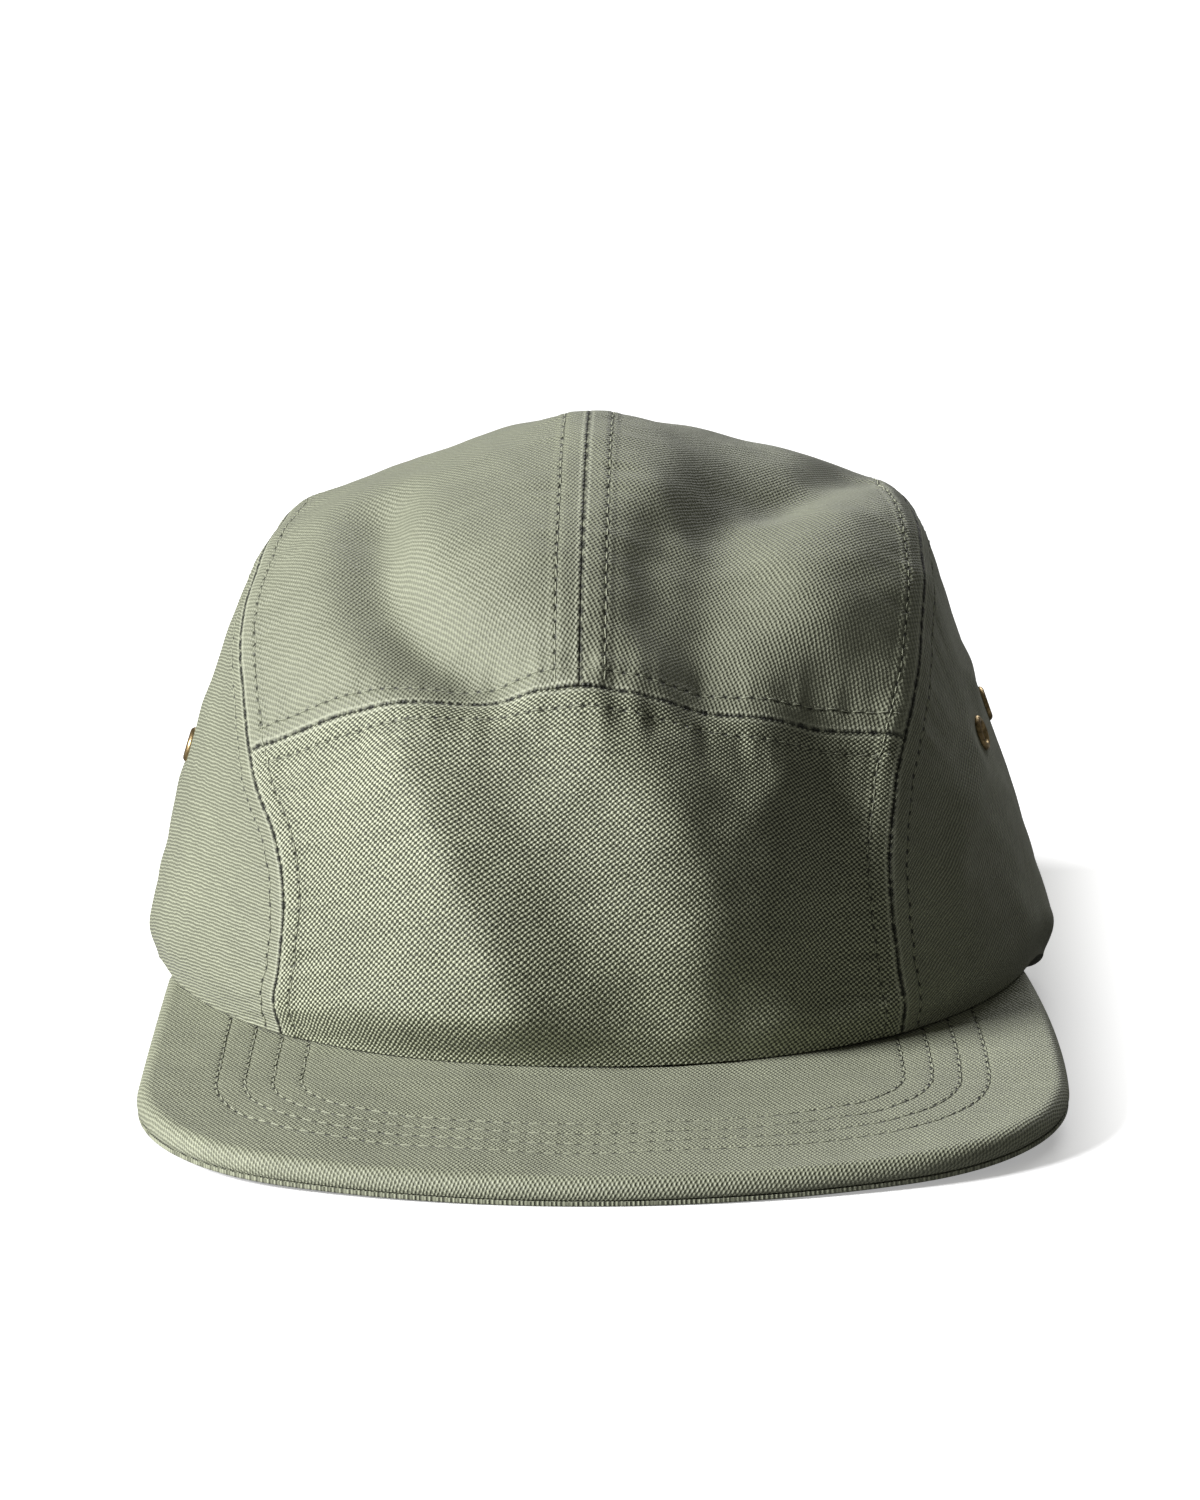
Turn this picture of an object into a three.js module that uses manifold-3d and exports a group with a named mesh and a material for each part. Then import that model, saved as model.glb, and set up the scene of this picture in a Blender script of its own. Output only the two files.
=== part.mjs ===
// A soft five-panel cap standing on a table. Its cloth crown is sewn from a front panel,
// two top panels and two side panels, over a flat stiff peak in an upper and an under cover,
// and each side panel has two brass eyelets. Millimetres, +Z up, the front faces -Y.
import * as THREE from "three";
import { mergeVertices } from "three/addons/utils/BufferGeometryUtils.js";
import Module from "manifold-3d";

// Crown sizes, measured on the outside of the cloth
const CROWN_HEIGHT = 126.4;
const CROWN_HALF_WIDTH = 95;
const CROWN_FRONT_REACH = 96;
const CROWN_BACK_REACH = 97.5;
const CROWN_SQUARENESS = 2.15;
const CROWN_SHIFT = -3;
const CROWN_LEAN = -2.5;
const CLOTH_WALL = 1.4;
const HEM_WALL = 2.2;
const HEM_HEIGHT = 18;
const TUCK_DEPTH = 4.2;
const TUCK_HEIGHT = 11;
const SEAM_RIDGE = 2.2;
const SEAM_RIDGE_WIDTH = 9;
const CENTRE_RIDGE = 0.9;
const SEAM_GAP = 0.3;
const FOLD_DEPTH = 3;
const FOLD_WIDTH = 10;

// Peak sizes
const PEAK_LENGTH = 67.4;
const PEAK_HALF_WIDTH = 93;
const PEAK_SHIFT = -1.2;
const PEAK_FRONT_RADIUS = 156;
const PEAK_CORNER_RADIUS = 52;
const PEAK_THICKNESS = 5.5;
const PEAK_UNDER_COVER = 1;
const PEAK_EDGE_ROUND = 3;
const PEAK_SLOPE_DEG = 4;
const PEAK_SEAT = 5;
const PEAK_GAP = 0.4;
const PEAK_END_DEG = 72;
const RIM_DOWN_DEG = 112;

// Eyelet sizes
const EYELET_RADIUS = 3.75;
const EYELET_BORE_RADIUS = 2;
const EYELET_TUBE_WALL = 0.5;
const EYELET_RISE = 0.9;
const EYELET_GAP = 0.55;
const EYELET_SETTLE = 0.1;
const EYELET_FLAT_RADIUS = 12;

// Shares of the crown's height where the side seams' ridge starts, where it is full, and
// where the crown has leaned all the way
const RIDGE_START_SHARE = 0.16;
const RIDGE_FULL_SHARE = 0.49;
const LEAN_SHARE = 0.74;

// Angles up the crown where its corners start to round off, and where it is fully round
const ROUND_START_DEG = 44;
const ROUND_END_DEG = 86;

// Angles over the crown where the centre seam's ridge is full, past the front seam, and
// where the seams turn down to the back rim
const CENTRE_RIDGE_DEG = 12;
const BACK_SEAM_DEG = 130;

// Grid counts
const ACROSS = 10;
const UP_FRONT = 10;
const OVER_TOP = 22;
const PEAK_STEPS = 44;
const ROUND_SIDES = 14;

// Crown outline, level by level. The height is a share of the crown's height, left and right
// are shares of its half width, and front and back are shares of its own reaches.
const CROWN_LEVELS = [
  { height: 0.0, left: 1.0, right: 0.99, front: 1.0, back: 0.995 },
  { height: 0.0985, left: 1.028, right: 1.006, front: 1.0, back: 1.0 },
  { height: 0.202, left: 1.0, right: 0.976, front: 0.995, back: 0.985 },
  { height: 0.3635, left: 0.937, right: 0.919, front: 0.974, back: 0.938 },
  { height: 0.525, left: 0.863, right: 0.851, front: 0.917, back: 0.862 },
  { height: 0.662, left: 0.797, right: 0.797, front: 0.823, back: 0.779 },
  { height: 0.7585, left: 0.715, right: 0.75, front: 0.708, back: 0.677 },
  { height: 0.834, left: 0.612, right: 0.668, front: 0.573, back: 0.554 },
  { height: 0.904, left: 0.412, right: 0.458, front: 0.396, back: 0.379 },
  { height: 0.961, left: 0.216, right: 0.224, front: 0.198, back: 0.195 },
];

// Side seams: how far out to each side they lie at an angle over the crown, from the front
// rim at 0 over the top at 90 to the back rim at 180, in degrees seen from the rim's centre.
const SIDE_SEAMS = [
  { over: 0, left: 41.5, right: 40.5 },
  { over: 12, left: 41, right: 39.9 },
  { over: 20, left: 38.3, right: 39 },
  { over: 28, left: 35.6, right: 37.6 },
  { over: 36, left: 35, right: 36.2 },
  { over: 44, left: 37, right: 35.8 },
  { over: 52, left: 37.8, right: 36 },
  { over: 60, left: 37.8, right: 36.2 },
  { over: 70, left: 37, right: 35.2 },
  { over: 85, left: 34.2, right: 32.8 },
  { over: 100, left: 31, right: 30.6 },
  { over: 130, left: 30, right: 30 },
  { over: 180, left: 33, right: 33 },
];

// Front seam: its angle over the crown, across from the left side seam at -1 to the right at 1
const FRONT_SEAM = [
  { across: -1, over: 49.6 },
  { across: -0.5, over: 46.8 },
  { across: 0, over: 46.9 },
  { across: 0.5, over: 47.5 },
  { across: 1, over: 51.3 },
];

// Folds and dents: each follows a path of places given as degrees around the crown, with the
// front at 0 and the right side at 90, and degrees up from the rim. The width is a share of
// the fold width and the rise is a share of the fold depth, negative where the cloth dips.
const FOLDS = [
  { name: "top left valley", width: 0.75, rise: -1.0,
    path: [[-62, 64], [-39, 56], [-27, 51], [-12, 48]] },
  { name: "top left swell", width: 1.1, rise: 0.6,
    path: [[-30, 61], [-18, 56], [-10, 53]] },
  { name: "top right valley", width: 0.8, rise: -1.15,
    path: [[9, 50], [13, 57], [24, 64], [45, 69], [100, 72]] },
  { name: "top right swell", width: 1.1, rise: 0.8,
    path: [[56, 63], [43, 54], [33, 48]] },
  { name: "right shoulder crease", width: 0.45, rise: -0.4,
    path: [[59, 60], [57, 54]] },
  { name: "front left edge", width: 0.8, rise: 0.55,
    path: [[-24, 38], [-17, 29], [-12, 15]] },
  { name: "front middle dip", width: 1.0, rise: -0.45,
    path: [[-3, 29], [0, 22], [5, 15]] },
  { name: "front middle swell", width: 0.9, rise: 0.6,
    path: [[4, 39], [10, 31], [14, 25], [13, 18]] },
  { name: "front upper dip", width: 0.7, rise: -0.5,
    path: [[13, 32], [20, 36], [27, 39]] },
  { name: "front upper swell", width: 0.65, rise: 0.5,
    path: [[19, 30], [26, 33], [34, 37]] },
  { name: "front right valley", width: 0.75, rise: -0.75,
    path: [[24, 14], [26, 22], [29, 28], [36, 33]] },
  { name: "front right ridge", width: 0.5, rise: 0.5,
    path: [[32, 13], [32, 23], [37, 30]] },
  { name: "right side ridge", width: 0.5, rise: 0.45,
    path: [[87, 44], [71, 36], [55, 26], [51, 21]] },
  { name: "left side waist", width: 1.0, rise: -0.3,
    path: [[-100, 42], [-60, 42]] },
  { name: "back left dip", width: 1.3, rise: -0.7,
    path: [[-152, 52], [-138, 30]] },
  { name: "back right dip", width: 1.3, rise: -0.6,
    path: [[160, 62], [150, 40]] },
  { name: "back middle swell", width: 1.2, rise: 0.5,
    path: [[-176, 28], [172, 46]] },
];

// Eyelets: their places on the side panels, in degrees around the crown and up from the rim
const EYELETS = [
  { name: "eyelet_left_front", around: -87, up: 34 },
  { name: "eyelet_left_rear", around: -105, up: 34 },
  { name: "eyelet_right_front", around: 76, up: 37 },
  { name: "eyelet_right_rear", around: 95, up: 37.5 },
];

const wasm = await Module();
wasm.setup();

const radians = THREE.MathUtils.degToRad;
const ease = (share) => THREE.MathUtils.smoothstep(share, 0, 1);
const mix = THREE.MathUtils.lerp;

const cloth = (name) => new THREE.MeshStandardMaterial({ name, color: 0x8c9478, roughness: 0.9, metalness: 0 });
const brass = () => new THREE.MeshStandardMaterial({ name: "brass", color: 0xa8843f, roughness: 0.35, metalness: 1 });

// A smooth curve through the rows of a table
function smoothCurve(places, values) {
  const last = places.length - 1;
  const rate = (i) => (values[i + 1] - values[i]) / (places[i + 1] - places[i]);
  const slope = (i) => {
    if (i === 0) return rate(0);
    if (i === last) return rate(last - 1);
    const before = places[i] - places[i - 1];
    const after = places[i + 1] - places[i];
    return (rate(i - 1) * after + rate(i) * before) / (before + after);
  };
  const slopes = places.map((_, i) => slope(i));
  return (place) => {
    let i = 0;
    while (i < last - 1 && place > places[i + 1]) i++;
    const span = places[i + 1] - places[i];
    const t = (place - places[i]) / span;
    const start = (2 * t ** 3 - 3 * t ** 2 + 1) * values[i] + (t ** 3 - 2 * t ** 2 + t) * span * slopes[i];
    const end = (3 * t ** 2 - 2 * t ** 3) * values[i + 1] + (t ** 3 - t ** 2) * span * slopes[i + 1];
    return start + end;
  };
}

// One side's outline as a distance from the rim's centre, by the angle above the rim
function outlineCurve(side, reach) {
  const heights = CROWN_LEVELS.map((level) => level.height * CROWN_HEIGHT);
  const reaches = CROWN_LEVELS.map((level) => level[side] * reach);
  const angles = heights.map((height, i) => Math.atan2(height, reaches[i]));
  const distances = heights.map((height, i) => Math.hypot(height, reaches[i]));
  const beyond = Math.PI - angles[angles.length - 1];
  return smoothCurve(
    [...angles, Math.PI / 2, beyond],
    [...distances, CROWN_HEIGHT, distances[distances.length - 1]],
  );
}
const outline = {
  left: outlineCurve("left", CROWN_HALF_WIDTH),
  right: outlineCurve("right", CROWN_HALF_WIDTH),
  front: outlineCurve("front", CROWN_FRONT_REACH),
  back: outlineCurve("back", CROWN_BACK_REACH),
};

const seamPlaces = SIDE_SEAMS.map((row) => radians(row.over));
const seamLeft = smoothCurve(seamPlaces, SIDE_SEAMS.map((row) => radians(row.left)));
const seamRight = smoothCurve(seamPlaces, SIDE_SEAMS.map((row) => radians(row.right)));
const sideSeam = (side, over) => (side < 0 ? seamLeft(over) : seamRight(over));
const frontSeam = smoothCurve(
  FRONT_SEAM.map((row) => row.across),
  FRONT_SEAM.map((row) => radians(row.over)),
);

// Directions from the rim's centre: by an angle out to the side and an angle over the crown,
// or by an angle around the crown and an angle up from the rim.
const heading = (sideways, over) => new THREE.Vector3(
  Math.sin(sideways),
  -Math.cos(sideways) * Math.cos(over),
  Math.cos(sideways) * Math.sin(over),
);
const bearing = (around, up) => new THREE.Vector3(
  Math.sin(around) * Math.cos(up),
  -Math.cos(around) * Math.cos(up),
  Math.sin(up),
);

// The peak's top face is one plane that falls to its front edge, which rests on the table
const peakRise = Math.tan(radians(PEAK_SLOPE_DEG));
const peakFrontY = -(CROWN_FRONT_REACH - TUCK_DEPTH + PEAK_LENGTH);
const peakTop = (y) => PEAK_THICKNESS + (y - peakFrontY) * peakRise;

// The rim lies on the peak at the front and comes down to the table towards the back
function rimHeight(around, y) {
  const down = (Math.abs(around) - radians(PEAK_END_DEG)) / radians(RIM_DOWN_DEG - PEAK_END_DEG);
  return (peakTop(y) + PEAK_GAP) * (1 - ease(down));
}

const folds = FOLDS.map((fold) => ({
  rise: fold.rise * FOLD_DEPTH,
  width: fold.width * FOLD_WIDTH,
  path: fold.path.map(([around, up]) => bearing(radians(around), radians(up))),
}));

function foldRise(direction, distance) {
  const nearest = new THREE.Vector3();
  let rise = 0;
  for (const fold of folds) {
    let gap = Infinity;
    for (let i = 1; i < fold.path.length; i++) {
      new THREE.Line3(fold.path[i - 1], fold.path[i]).closestPointToPoint(direction, true, nearest);
      gap = Math.min(gap, nearest.distanceTo(direction) * distance);
    }
    rise += fold.rise * Math.exp(-((gap / fold.width) ** 2));
  }
  return rise;
}

// Crimping an eyelet on holds the cloth round it flat, so folds fade out there
const eyeletDirections = EYELETS.map((eyelet) => bearing(radians(eyelet.around), radians(eyelet.up)));

function foldFade(direction, distance) {
  const nearest = Math.min(...eyeletDirections.map((eyelet) => eyelet.distanceTo(direction) * distance));
  return ease((nearest - EYELET_RADIUS) / (EYELET_FLAT_RADIUS - EYELET_RADIUS));
}

// The outside of the crown in a direction from the rim's centre, before it leans to one side
function crownOutside(direction) {
  const flat = Math.max(Math.hypot(direction.x, direction.y), 1e-9);
  const up = Math.atan2(direction.z, flat);
  const across = direction.x / flat;
  const along = direction.y / flat;
  const side = (across < 0 ? outline.left : outline.right)(up);
  const end = (along < 0 ? outline.front : outline.back)(up);
  const roundness = ease((up - radians(ROUND_START_DEG)) / radians(ROUND_END_DEG - ROUND_START_DEG));
  const squareness = THREE.MathUtils.lerp(CROWN_SQUARENESS, 2, roundness);
  const corner = Math.abs(across / side) ** squareness + Math.abs(along / end) ** squareness;
  let distance = corner ** (-1 / squareness);
  const height = distance * direction.z;
  const around = Math.atan2(direction.x, -direction.y);
  const aboveRim = height - rimHeight(around, distance * direction.y);

  const sideways = Math.asin(THREE.MathUtils.clamp(direction.x, -1, 1));
  const over = Math.atan2(direction.z, -direction.y);
  const fromSeam = (Math.abs(sideways) - sideSeam(sideways, over)) * distance;
  const ridgeFade = ease((height / CROWN_HEIGHT - RIDGE_START_SHARE) / (RIDGE_FULL_SHARE - RIDGE_START_SHARE));
  const centreFade = ease((over - frontSeam(0)) / radians(CENTRE_RIDGE_DEG));
  const fromCentre = sideways * distance;
  const ridge = SEAM_RIDGE * Math.exp(-((fromSeam / SEAM_RIDGE_WIDTH) ** 2))
    + CENTRE_RIDGE * Math.exp(-((fromCentre / SEAM_RIDGE_WIDTH) ** 2)) * centreFade;
  distance += ridge * ridgeFade;
  distance += foldRise(direction, distance) * foldFade(direction, distance) * ease(aboveRim / TUCK_HEIGHT);
  distance -= TUCK_DEPTH * (1 - ease(aboveRim / TUCK_HEIGHT)) ** 1.5;
  return direction.clone().multiplyScalar(distance);
}

function crownPoint(direction) {
  const point = crownOutside(direction);
  point.x += CROWN_SHIFT + CROWN_LEAN * ease(point.z / (LEAN_SHARE * CROWN_HEIGHT));
  return point;
}

// The way out of the cloth, level near the rim so that the rim's own edge is flat
function crownNormal(direction) {
  const aside = new THREE.Vector3(0, 0, 1).cross(direction);
  if (aside.lengthSq() < 1e-6) aside.set(1, 0, 0);
  aside.normalize();
  const onward = direction.clone().cross(aside);
  const step = 0.004;
  const at = (way, size) => crownPoint(direction.clone().addScaledVector(way, size).normalize());
  const sideStep = at(aside, step).sub(at(aside, -step));
  const onStep = at(onward, step).sub(at(onward, -step));
  const normal = sideStep.cross(onStep).normalize();
  if (normal.dot(direction) < 0) normal.negate();
  return normal;
}

// A point of the crown's inner face, a wall's thickness in from the outside
function crownInside(direction) {
  const point = crownPoint(direction);
  const around = Math.atan2(direction.x, -direction.y);
  const aboveRim = Math.max(point.z - rimHeight(around, point.y), 0);
  const hem = 1 - ease(aboveRim / HEM_HEIGHT);
  const inward = crownNormal(direction).negate();
  inward.z *= 1 - hem;
  inward.normalize();
  return point.addScaledVector(inward, mix(CLOTH_WALL, HEM_WALL, hem));
}

// The rim's angle over the crown at a share across the front, and its angle up at any place
function rimOver(across, seamAngle) {
  let over = 0;
  for (let round = 0; round < 20; round++) {
    const sideways = across * seamAngle(across, over);
    const point = crownOutside(heading(sideways, over));
    const around = Math.atan2(point.x, -point.y);
    const height = rimHeight(around, point.y);
    over = Math.asin(height / (point.length() * Math.cos(sideways)));
  }
  return over;
}

function rimUp(around) {
  let up = 0;
  for (let round = 0; round < 20; round++) {
    const point = crownOutside(bearing(around, up));
    up = Math.asin(rimHeight(around, point.y) / point.length());
  }
  return up;
}

// A closed body between two grids of points, rows by columns, that share their edges
function sheetBody(outer, inner) {
  const rows = outer.length;
  const columns = outer[0].length;
  const positions = [...outer.flat(), ...inner.flat()].flatMap((point) => [point.x, point.y, point.z]);
  const index = [];
  const place = (row, column) => row * columns + column;
  const inside = rows * columns;
  const quad = (a, b, c, d) => index.push(a, b, c, a, c, d);
  for (let row = 0; row < rows - 1; row++) {
    for (let column = 0; column < columns - 1; column++) {
      const corners = [place(row, column), place(row, column + 1), place(row + 1, column + 1), place(row + 1, column)];
      quad(...corners);
      quad(...corners.reverse().map((corner) => corner + inside));
    }
  }
  const border = [];
  for (let column = 0; column < columns - 1; column++) border.push(place(0, column));
  for (let row = 0; row < rows - 1; row++) border.push(place(row, columns - 1));
  for (let column = columns - 1; column > 0; column--) border.push(place(rows - 1, column));
  for (let row = rows - 1; row > 0; row--) border.push(place(row, 0));
  border.forEach((here, i) => {
    const next = border[(i + 1) % border.length];
    quad(here, here + inside, next + inside, next);
  });
  const geometry = new THREE.BufferGeometry();
  geometry.setAttribute("position", new THREE.Float32BufferAttribute(positions, 3));
  geometry.setIndex(index);
  return facingOut(geometry);
}

// Merges shared corners and turns the faces of a closed body outwards
function facingOut(geometry) {
  geometry.deleteAttribute("normal");
  geometry.deleteAttribute("uv");
  const merged = mergeVertices(geometry, 1e-5);
  const index = [...merged.getIndex().array];
  const corner = (i) => new THREE.Vector3().fromBufferAttribute(merged.getAttribute("position"), i);
  const kept = [];
  let volume = 0;
  for (let i = 0; i < index.length; i += 3) {
    const [a, b, c] = index.slice(i, i + 3);
    if (a === b || b === c || c === a) continue;
    kept.push([a, b, c]);
    volume += corner(a).dot(corner(b).cross(corner(c)));
  }
  merged.setIndex(kept.flatMap(([a, b, c]) => (volume < 0 ? [a, c, b] : [a, b, c])));
  return merged;
}

function toSolid(geometry) {
  const vertProperties = new Float32Array(geometry.getAttribute("position").array);
  const triVerts = new Uint32Array(geometry.getIndex().array);
  return new wasm.Manifold(new wasm.Mesh({ numProp: 3, vertProperties, triVerts }));
}

function toGeometry(solid) {
  const mesh = solid.getMesh();
  const geometry = new THREE.BufferGeometry();
  geometry.setAttribute("position", new THREE.Float32BufferAttribute(mesh.vertProperties, 3));
  geometry.setIndex([...mesh.triVerts]);
  return geometry;
}

// Panels of the crown: grids of directions, a small gap short of each seam
const halfGap = SEAM_GAP / 2 / CROWN_HALF_WIDTH;
const insideSeam = (side, over) => sideSeam(side, over) - halfGap;
const outsideSeam = (side, over) => sideSeam(side, over) + halfGap;

function panelBody(directions) {
  const outer = directions.map((row) => row.map(crownPoint));
  const inner = directions.map((row) => row.map(crownInside));
  return sheetBody(outer, inner);
}

function frontPanel() {
  const directions = [];
  for (let row = 0; row <= UP_FRONT; row++) {
    directions.push([]);
    for (let column = -ACROSS; column <= ACROSS; column++) {
      const across = column / ACROSS;
      const top = frontSeam(across) - halfGap / Math.cos(across * insideSeam(across, 0));
      const over = mix(rimOver(across, insideSeam), top, row / UP_FRONT);
      directions[row].push(heading(across * insideSeam(across, over), over));
    }
  }
  return panelBody(directions);
}

// The side seam's stations behind the front seam, as shares of the way to the back rim
const backStart = radians(BACK_SEAM_DEG);
function stationShares(side) {
  const start = frontSeam(side);
  const overTop = Array.from({ length: OVER_TOP }, (_, i) => mix(start, backStart, i / OVER_TOP));
  const downBack = Array.from({ length: UP_FRONT + 1 }, (_, i) => mix(backStart, Math.PI, i / UP_FRONT));
  return [...overTop, ...downBack].map((over) => (over - start) / (Math.PI - start));
}

function topPanel(side) {
  return panelBody(stationShares(side).map((share) => {
    const row = [];
    for (let column = 0; column <= ACROSS; column++) {
      const across = column / ACROSS;
      const front = frontSeam(side * across) + halfGap / Math.cos(across * insideSeam(side, 0));
      const over = mix(front, Math.PI, share);
      row.push(heading(side * mix(halfGap, insideSeam(side, over), across), over));
    }
    return row;
  }));
}

// A side panel fills the space between its seam, in three stretches, and the rim
function sidePanel(side) {
  const rimStart = rimOver(side, outsideSeam);
  const seamAt = (over) => heading(side * outsideSeam(side, over), over);
  const aroundAt = (direction) => Math.atan2(direction.x, -direction.y);
  const firstAround = aroundAt(seamAt(rimStart));
  const lastAround = aroundAt(seamAt(Math.PI));
  const rimAt = (share) => {
    const around = mix(firstAround, lastAround, share);
    return bearing(around, rimUp(around));
  };
  const rising = (share) => seamAt(mix(rimStart, frontSeam(side), share));
  const crossing = (share) => seamAt(mix(frontSeam(side), backStart, share));
  const falling = (share) => seamAt(mix(Math.PI, backStart, share));
  const corners = [rising(0), falling(0), rising(1), falling(1)];
  const directions = [];
  for (let row = 0; row <= UP_FRONT; row++) {
    directions.push([]);
    for (let column = 0; column <= OVER_TOP; column++) {
      const up = row / UP_FRONT;
      const along = column / OVER_TOP;
      const direction = rimAt(along).multiplyScalar(1 - up)
        .addScaledVector(crossing(along), up)
        .addScaledVector(rising(up), 1 - along)
        .addScaledVector(falling(up), along)
        .addScaledVector(corners[0], -(1 - up) * (1 - along))
        .addScaledVector(corners[1], -(1 - up) * along)
        .addScaledVector(corners[2], -up * (1 - along))
        .addScaledVector(corners[3], -up * along);
      directions[row].push(direction.normalize());
    }
  }
  return panelBody(directions);
}

// Eyelets: a flanged tube through a round hole, its axis square to the cloth
const tubeRadius = EYELET_BORE_RADIUS + EYELET_TUBE_WALL;

function eyeletPlace(eyelet) {
  const direction = bearing(radians(eyelet.around), radians(eyelet.up));
  const normal = crownNormal(direction);
  const centre = crownPoint(direction).addScaledVector(normal, -CLOTH_WALL / 2 - EYELET_SETTLE);
  const turn = new THREE.Quaternion().setFromUnitVectors(new THREE.Vector3(0, 1, 0), normal);
  return { centre, turn };
}

function eyeletBody() {
  const seat = CLOTH_WALL / 2 + EYELET_GAP;
  const crest = mix(EYELET_BORE_RADIUS, EYELET_RADIUS, 0.45);
  const half = [
    [tubeRadius, seat],
    [EYELET_RADIUS, seat],
    [EYELET_RADIUS, seat + EYELET_RISE * 0.35],
    [crest, seat + EYELET_RISE],
    [EYELET_BORE_RADIUS, seat + EYELET_RISE * 0.6],
  ];
  const below = half.map(([radius, height]) => [radius, -height]).reverse();
  const loop = [...half, ...below, half[0]].map(([radius, height]) => new THREE.Vector2(radius, height));
  return facingOut(new THREE.LatheGeometry(loop, ROUND_SIDES));
}

function withHoles(panel, eyelets) {
  let solid = toSolid(panel);
  for (const eyelet of eyelets) {
    const { centre, turn } = eyeletPlace(eyelet);
    const drill = new THREE.CylinderGeometry(
      tubeRadius + EYELET_GAP, tubeRadius + EYELET_GAP, CLOTH_WALL * 6, ROUND_SIDES,
    );
    drill.applyQuaternion(turn);
    drill.translate(centre.x, centre.y, centre.z);
    solid = solid.subtract(toSolid(facingOut(drill)));
  }
  return toGeometry(solid);
}

// Peak: the outer edge is a front arc, two corner arcs and two sides that run in to the rim
const cornerCentreX = PEAK_HALF_WIDTH - PEAK_CORNER_RADIUS;
const cornerTurn = Math.asin(cornerCentreX / (PEAK_FRONT_RADIUS - PEAK_CORNER_RADIUS));
const cornerCentreY = peakFrontY + PEAK_FRONT_RADIUS
  - (PEAK_FRONT_RADIUS - PEAK_CORNER_RADIUS) * Math.cos(cornerTurn);
const FRONT_SHARE = 0.42;
const CORNER_SHARE = 0.72;

function rimPlace(around, inset) {
  const point = crownPoint(bearing(around, rimUp(around)));
  const inward = new THREE.Vector3(-Math.sin(around), Math.cos(around), 0);
  return point.addScaledVector(inward, inset);
}

function peakEdge(share, inset) {
  const size = Math.abs(share);
  const side = Math.sign(share);
  if (size <= FRONT_SHARE) {
    const turn = cornerTurn * size / FRONT_SHARE;
    const radius = PEAK_FRONT_RADIUS - inset;
    return [PEAK_SHIFT + side * radius * Math.sin(turn), peakFrontY + PEAK_FRONT_RADIUS - radius * Math.cos(turn)];
  }
  if (size <= CORNER_SHARE) {
    const turn = mix(cornerTurn, Math.PI / 2, (size - FRONT_SHARE) / (CORNER_SHARE - FRONT_SHARE));
    const radius = PEAK_CORNER_RADIUS - inset;
    return [PEAK_SHIFT + side * (cornerCentreX + radius * Math.sin(turn)), cornerCentreY - radius * Math.cos(turn)];
  }
  const back = (size - CORNER_SHARE) / (1 - CORNER_SHARE);
  const end = rimPlace(side * radians(PEAK_END_DEG), inset);
  const x = mix(PEAK_SHIFT + side * (PEAK_HALF_WIDTH - inset), end.x, back ** 1.8);
  return [x, mix(cornerCentreY, end.y, back)];
}

// Insets from the outer edge where the rounded edge is drawn, as shares of its radius
const EDGE_INSETS = [0, 0.12, 0.45, 1];
const INNER_SHARES = [0.5, 1];

// One layer of the peak between two depths below its top plane, with a rounded outer edge
function peakLayer(topDepth, bottomDepth, topRound, bottomRound) {
  const dropAt = (inset, round) => {
    const short = Math.max(1 - inset / PEAK_EDGE_ROUND, 0);
    return round * (1 - Math.sqrt(1 - short ** 2));
  };
  const face = (depth, round) => {
    const rows = [];
    for (const share of [...EDGE_INSETS.map((inset) => -inset), ...INNER_SHARES]) {
      rows.push([]);
      for (let step = -PEAK_STEPS / 2; step <= PEAK_STEPS / 2; step++) {
        const along = step / (PEAK_STEPS / 2);
        const inset = share <= 0 ? -share * PEAK_EDGE_ROUND : PEAK_EDGE_ROUND;
        const [edgeX, edgeY] = peakEdge(along, inset);
        const inner = rimPlace(along * radians(PEAK_END_DEG), PEAK_SEAT);
        const inward = Math.max(share, 0);
        const x = mix(edgeX, inner.x, inward);
        const y = mix(edgeY, inner.y, inward);
        rows[rows.length - 1].push(new THREE.Vector3(x, y, peakTop(y) - depth + dropAt(inset, round)));
      }
    }
    return rows;
  };
  return sheetBody(face(topDepth, -topRound), face(bottomDepth, bottomRound));
}

const underTop = PEAK_THICKNESS - PEAK_UNDER_COVER;
const parts = [
  ["front_panel", frontPanel(), cloth("crown_cloth")],
  ["top_panel_left", topPanel(-1), cloth("crown_cloth")],
  ["top_panel_right", topPanel(1), cloth("crown_cloth")],
  ["side_panel_left", withHoles(sidePanel(-1), EYELETS.filter((eyelet) => eyelet.around < 0)), cloth("crown_cloth")],
  ["side_panel_right", withHoles(sidePanel(1), EYELETS.filter((eyelet) => eyelet.around > 0)), cloth("crown_cloth")],
  ["peak_upper", peakLayer(0, underTop - SEAM_GAP, PEAK_EDGE_ROUND, 0), cloth("peak_cloth")],
  ["peak_under", peakLayer(underTop, PEAK_THICKNESS, 0, 0), cloth("peak_cloth")],
];

const cap = new THREE.Group();
for (const [name, geometry, material] of parts) {
  const mesh = new THREE.Mesh(geometry, material);
  mesh.name = name;
  cap.add(mesh);
}
for (const eyelet of EYELETS) {
  const { centre, turn } = eyeletPlace(eyelet);
  const mesh = new THREE.Mesh(eyeletBody(), brass());
  mesh.name = eyelet.name;
  mesh.position.copy(centre);
  mesh.quaternion.copy(turn);
  cap.add(mesh);
}

// The origin is the middle of the cap's footprint, on the table
const box = new THREE.Box3().setFromObject(cap, true);
const middle = box.getCenter(new THREE.Vector3());
cap.position.set(-middle.x, -middle.y, -box.min.z);

export default cap;
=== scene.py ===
import math

import bpy
import numpy as np
from mathutils import Matrix, Vector


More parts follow.
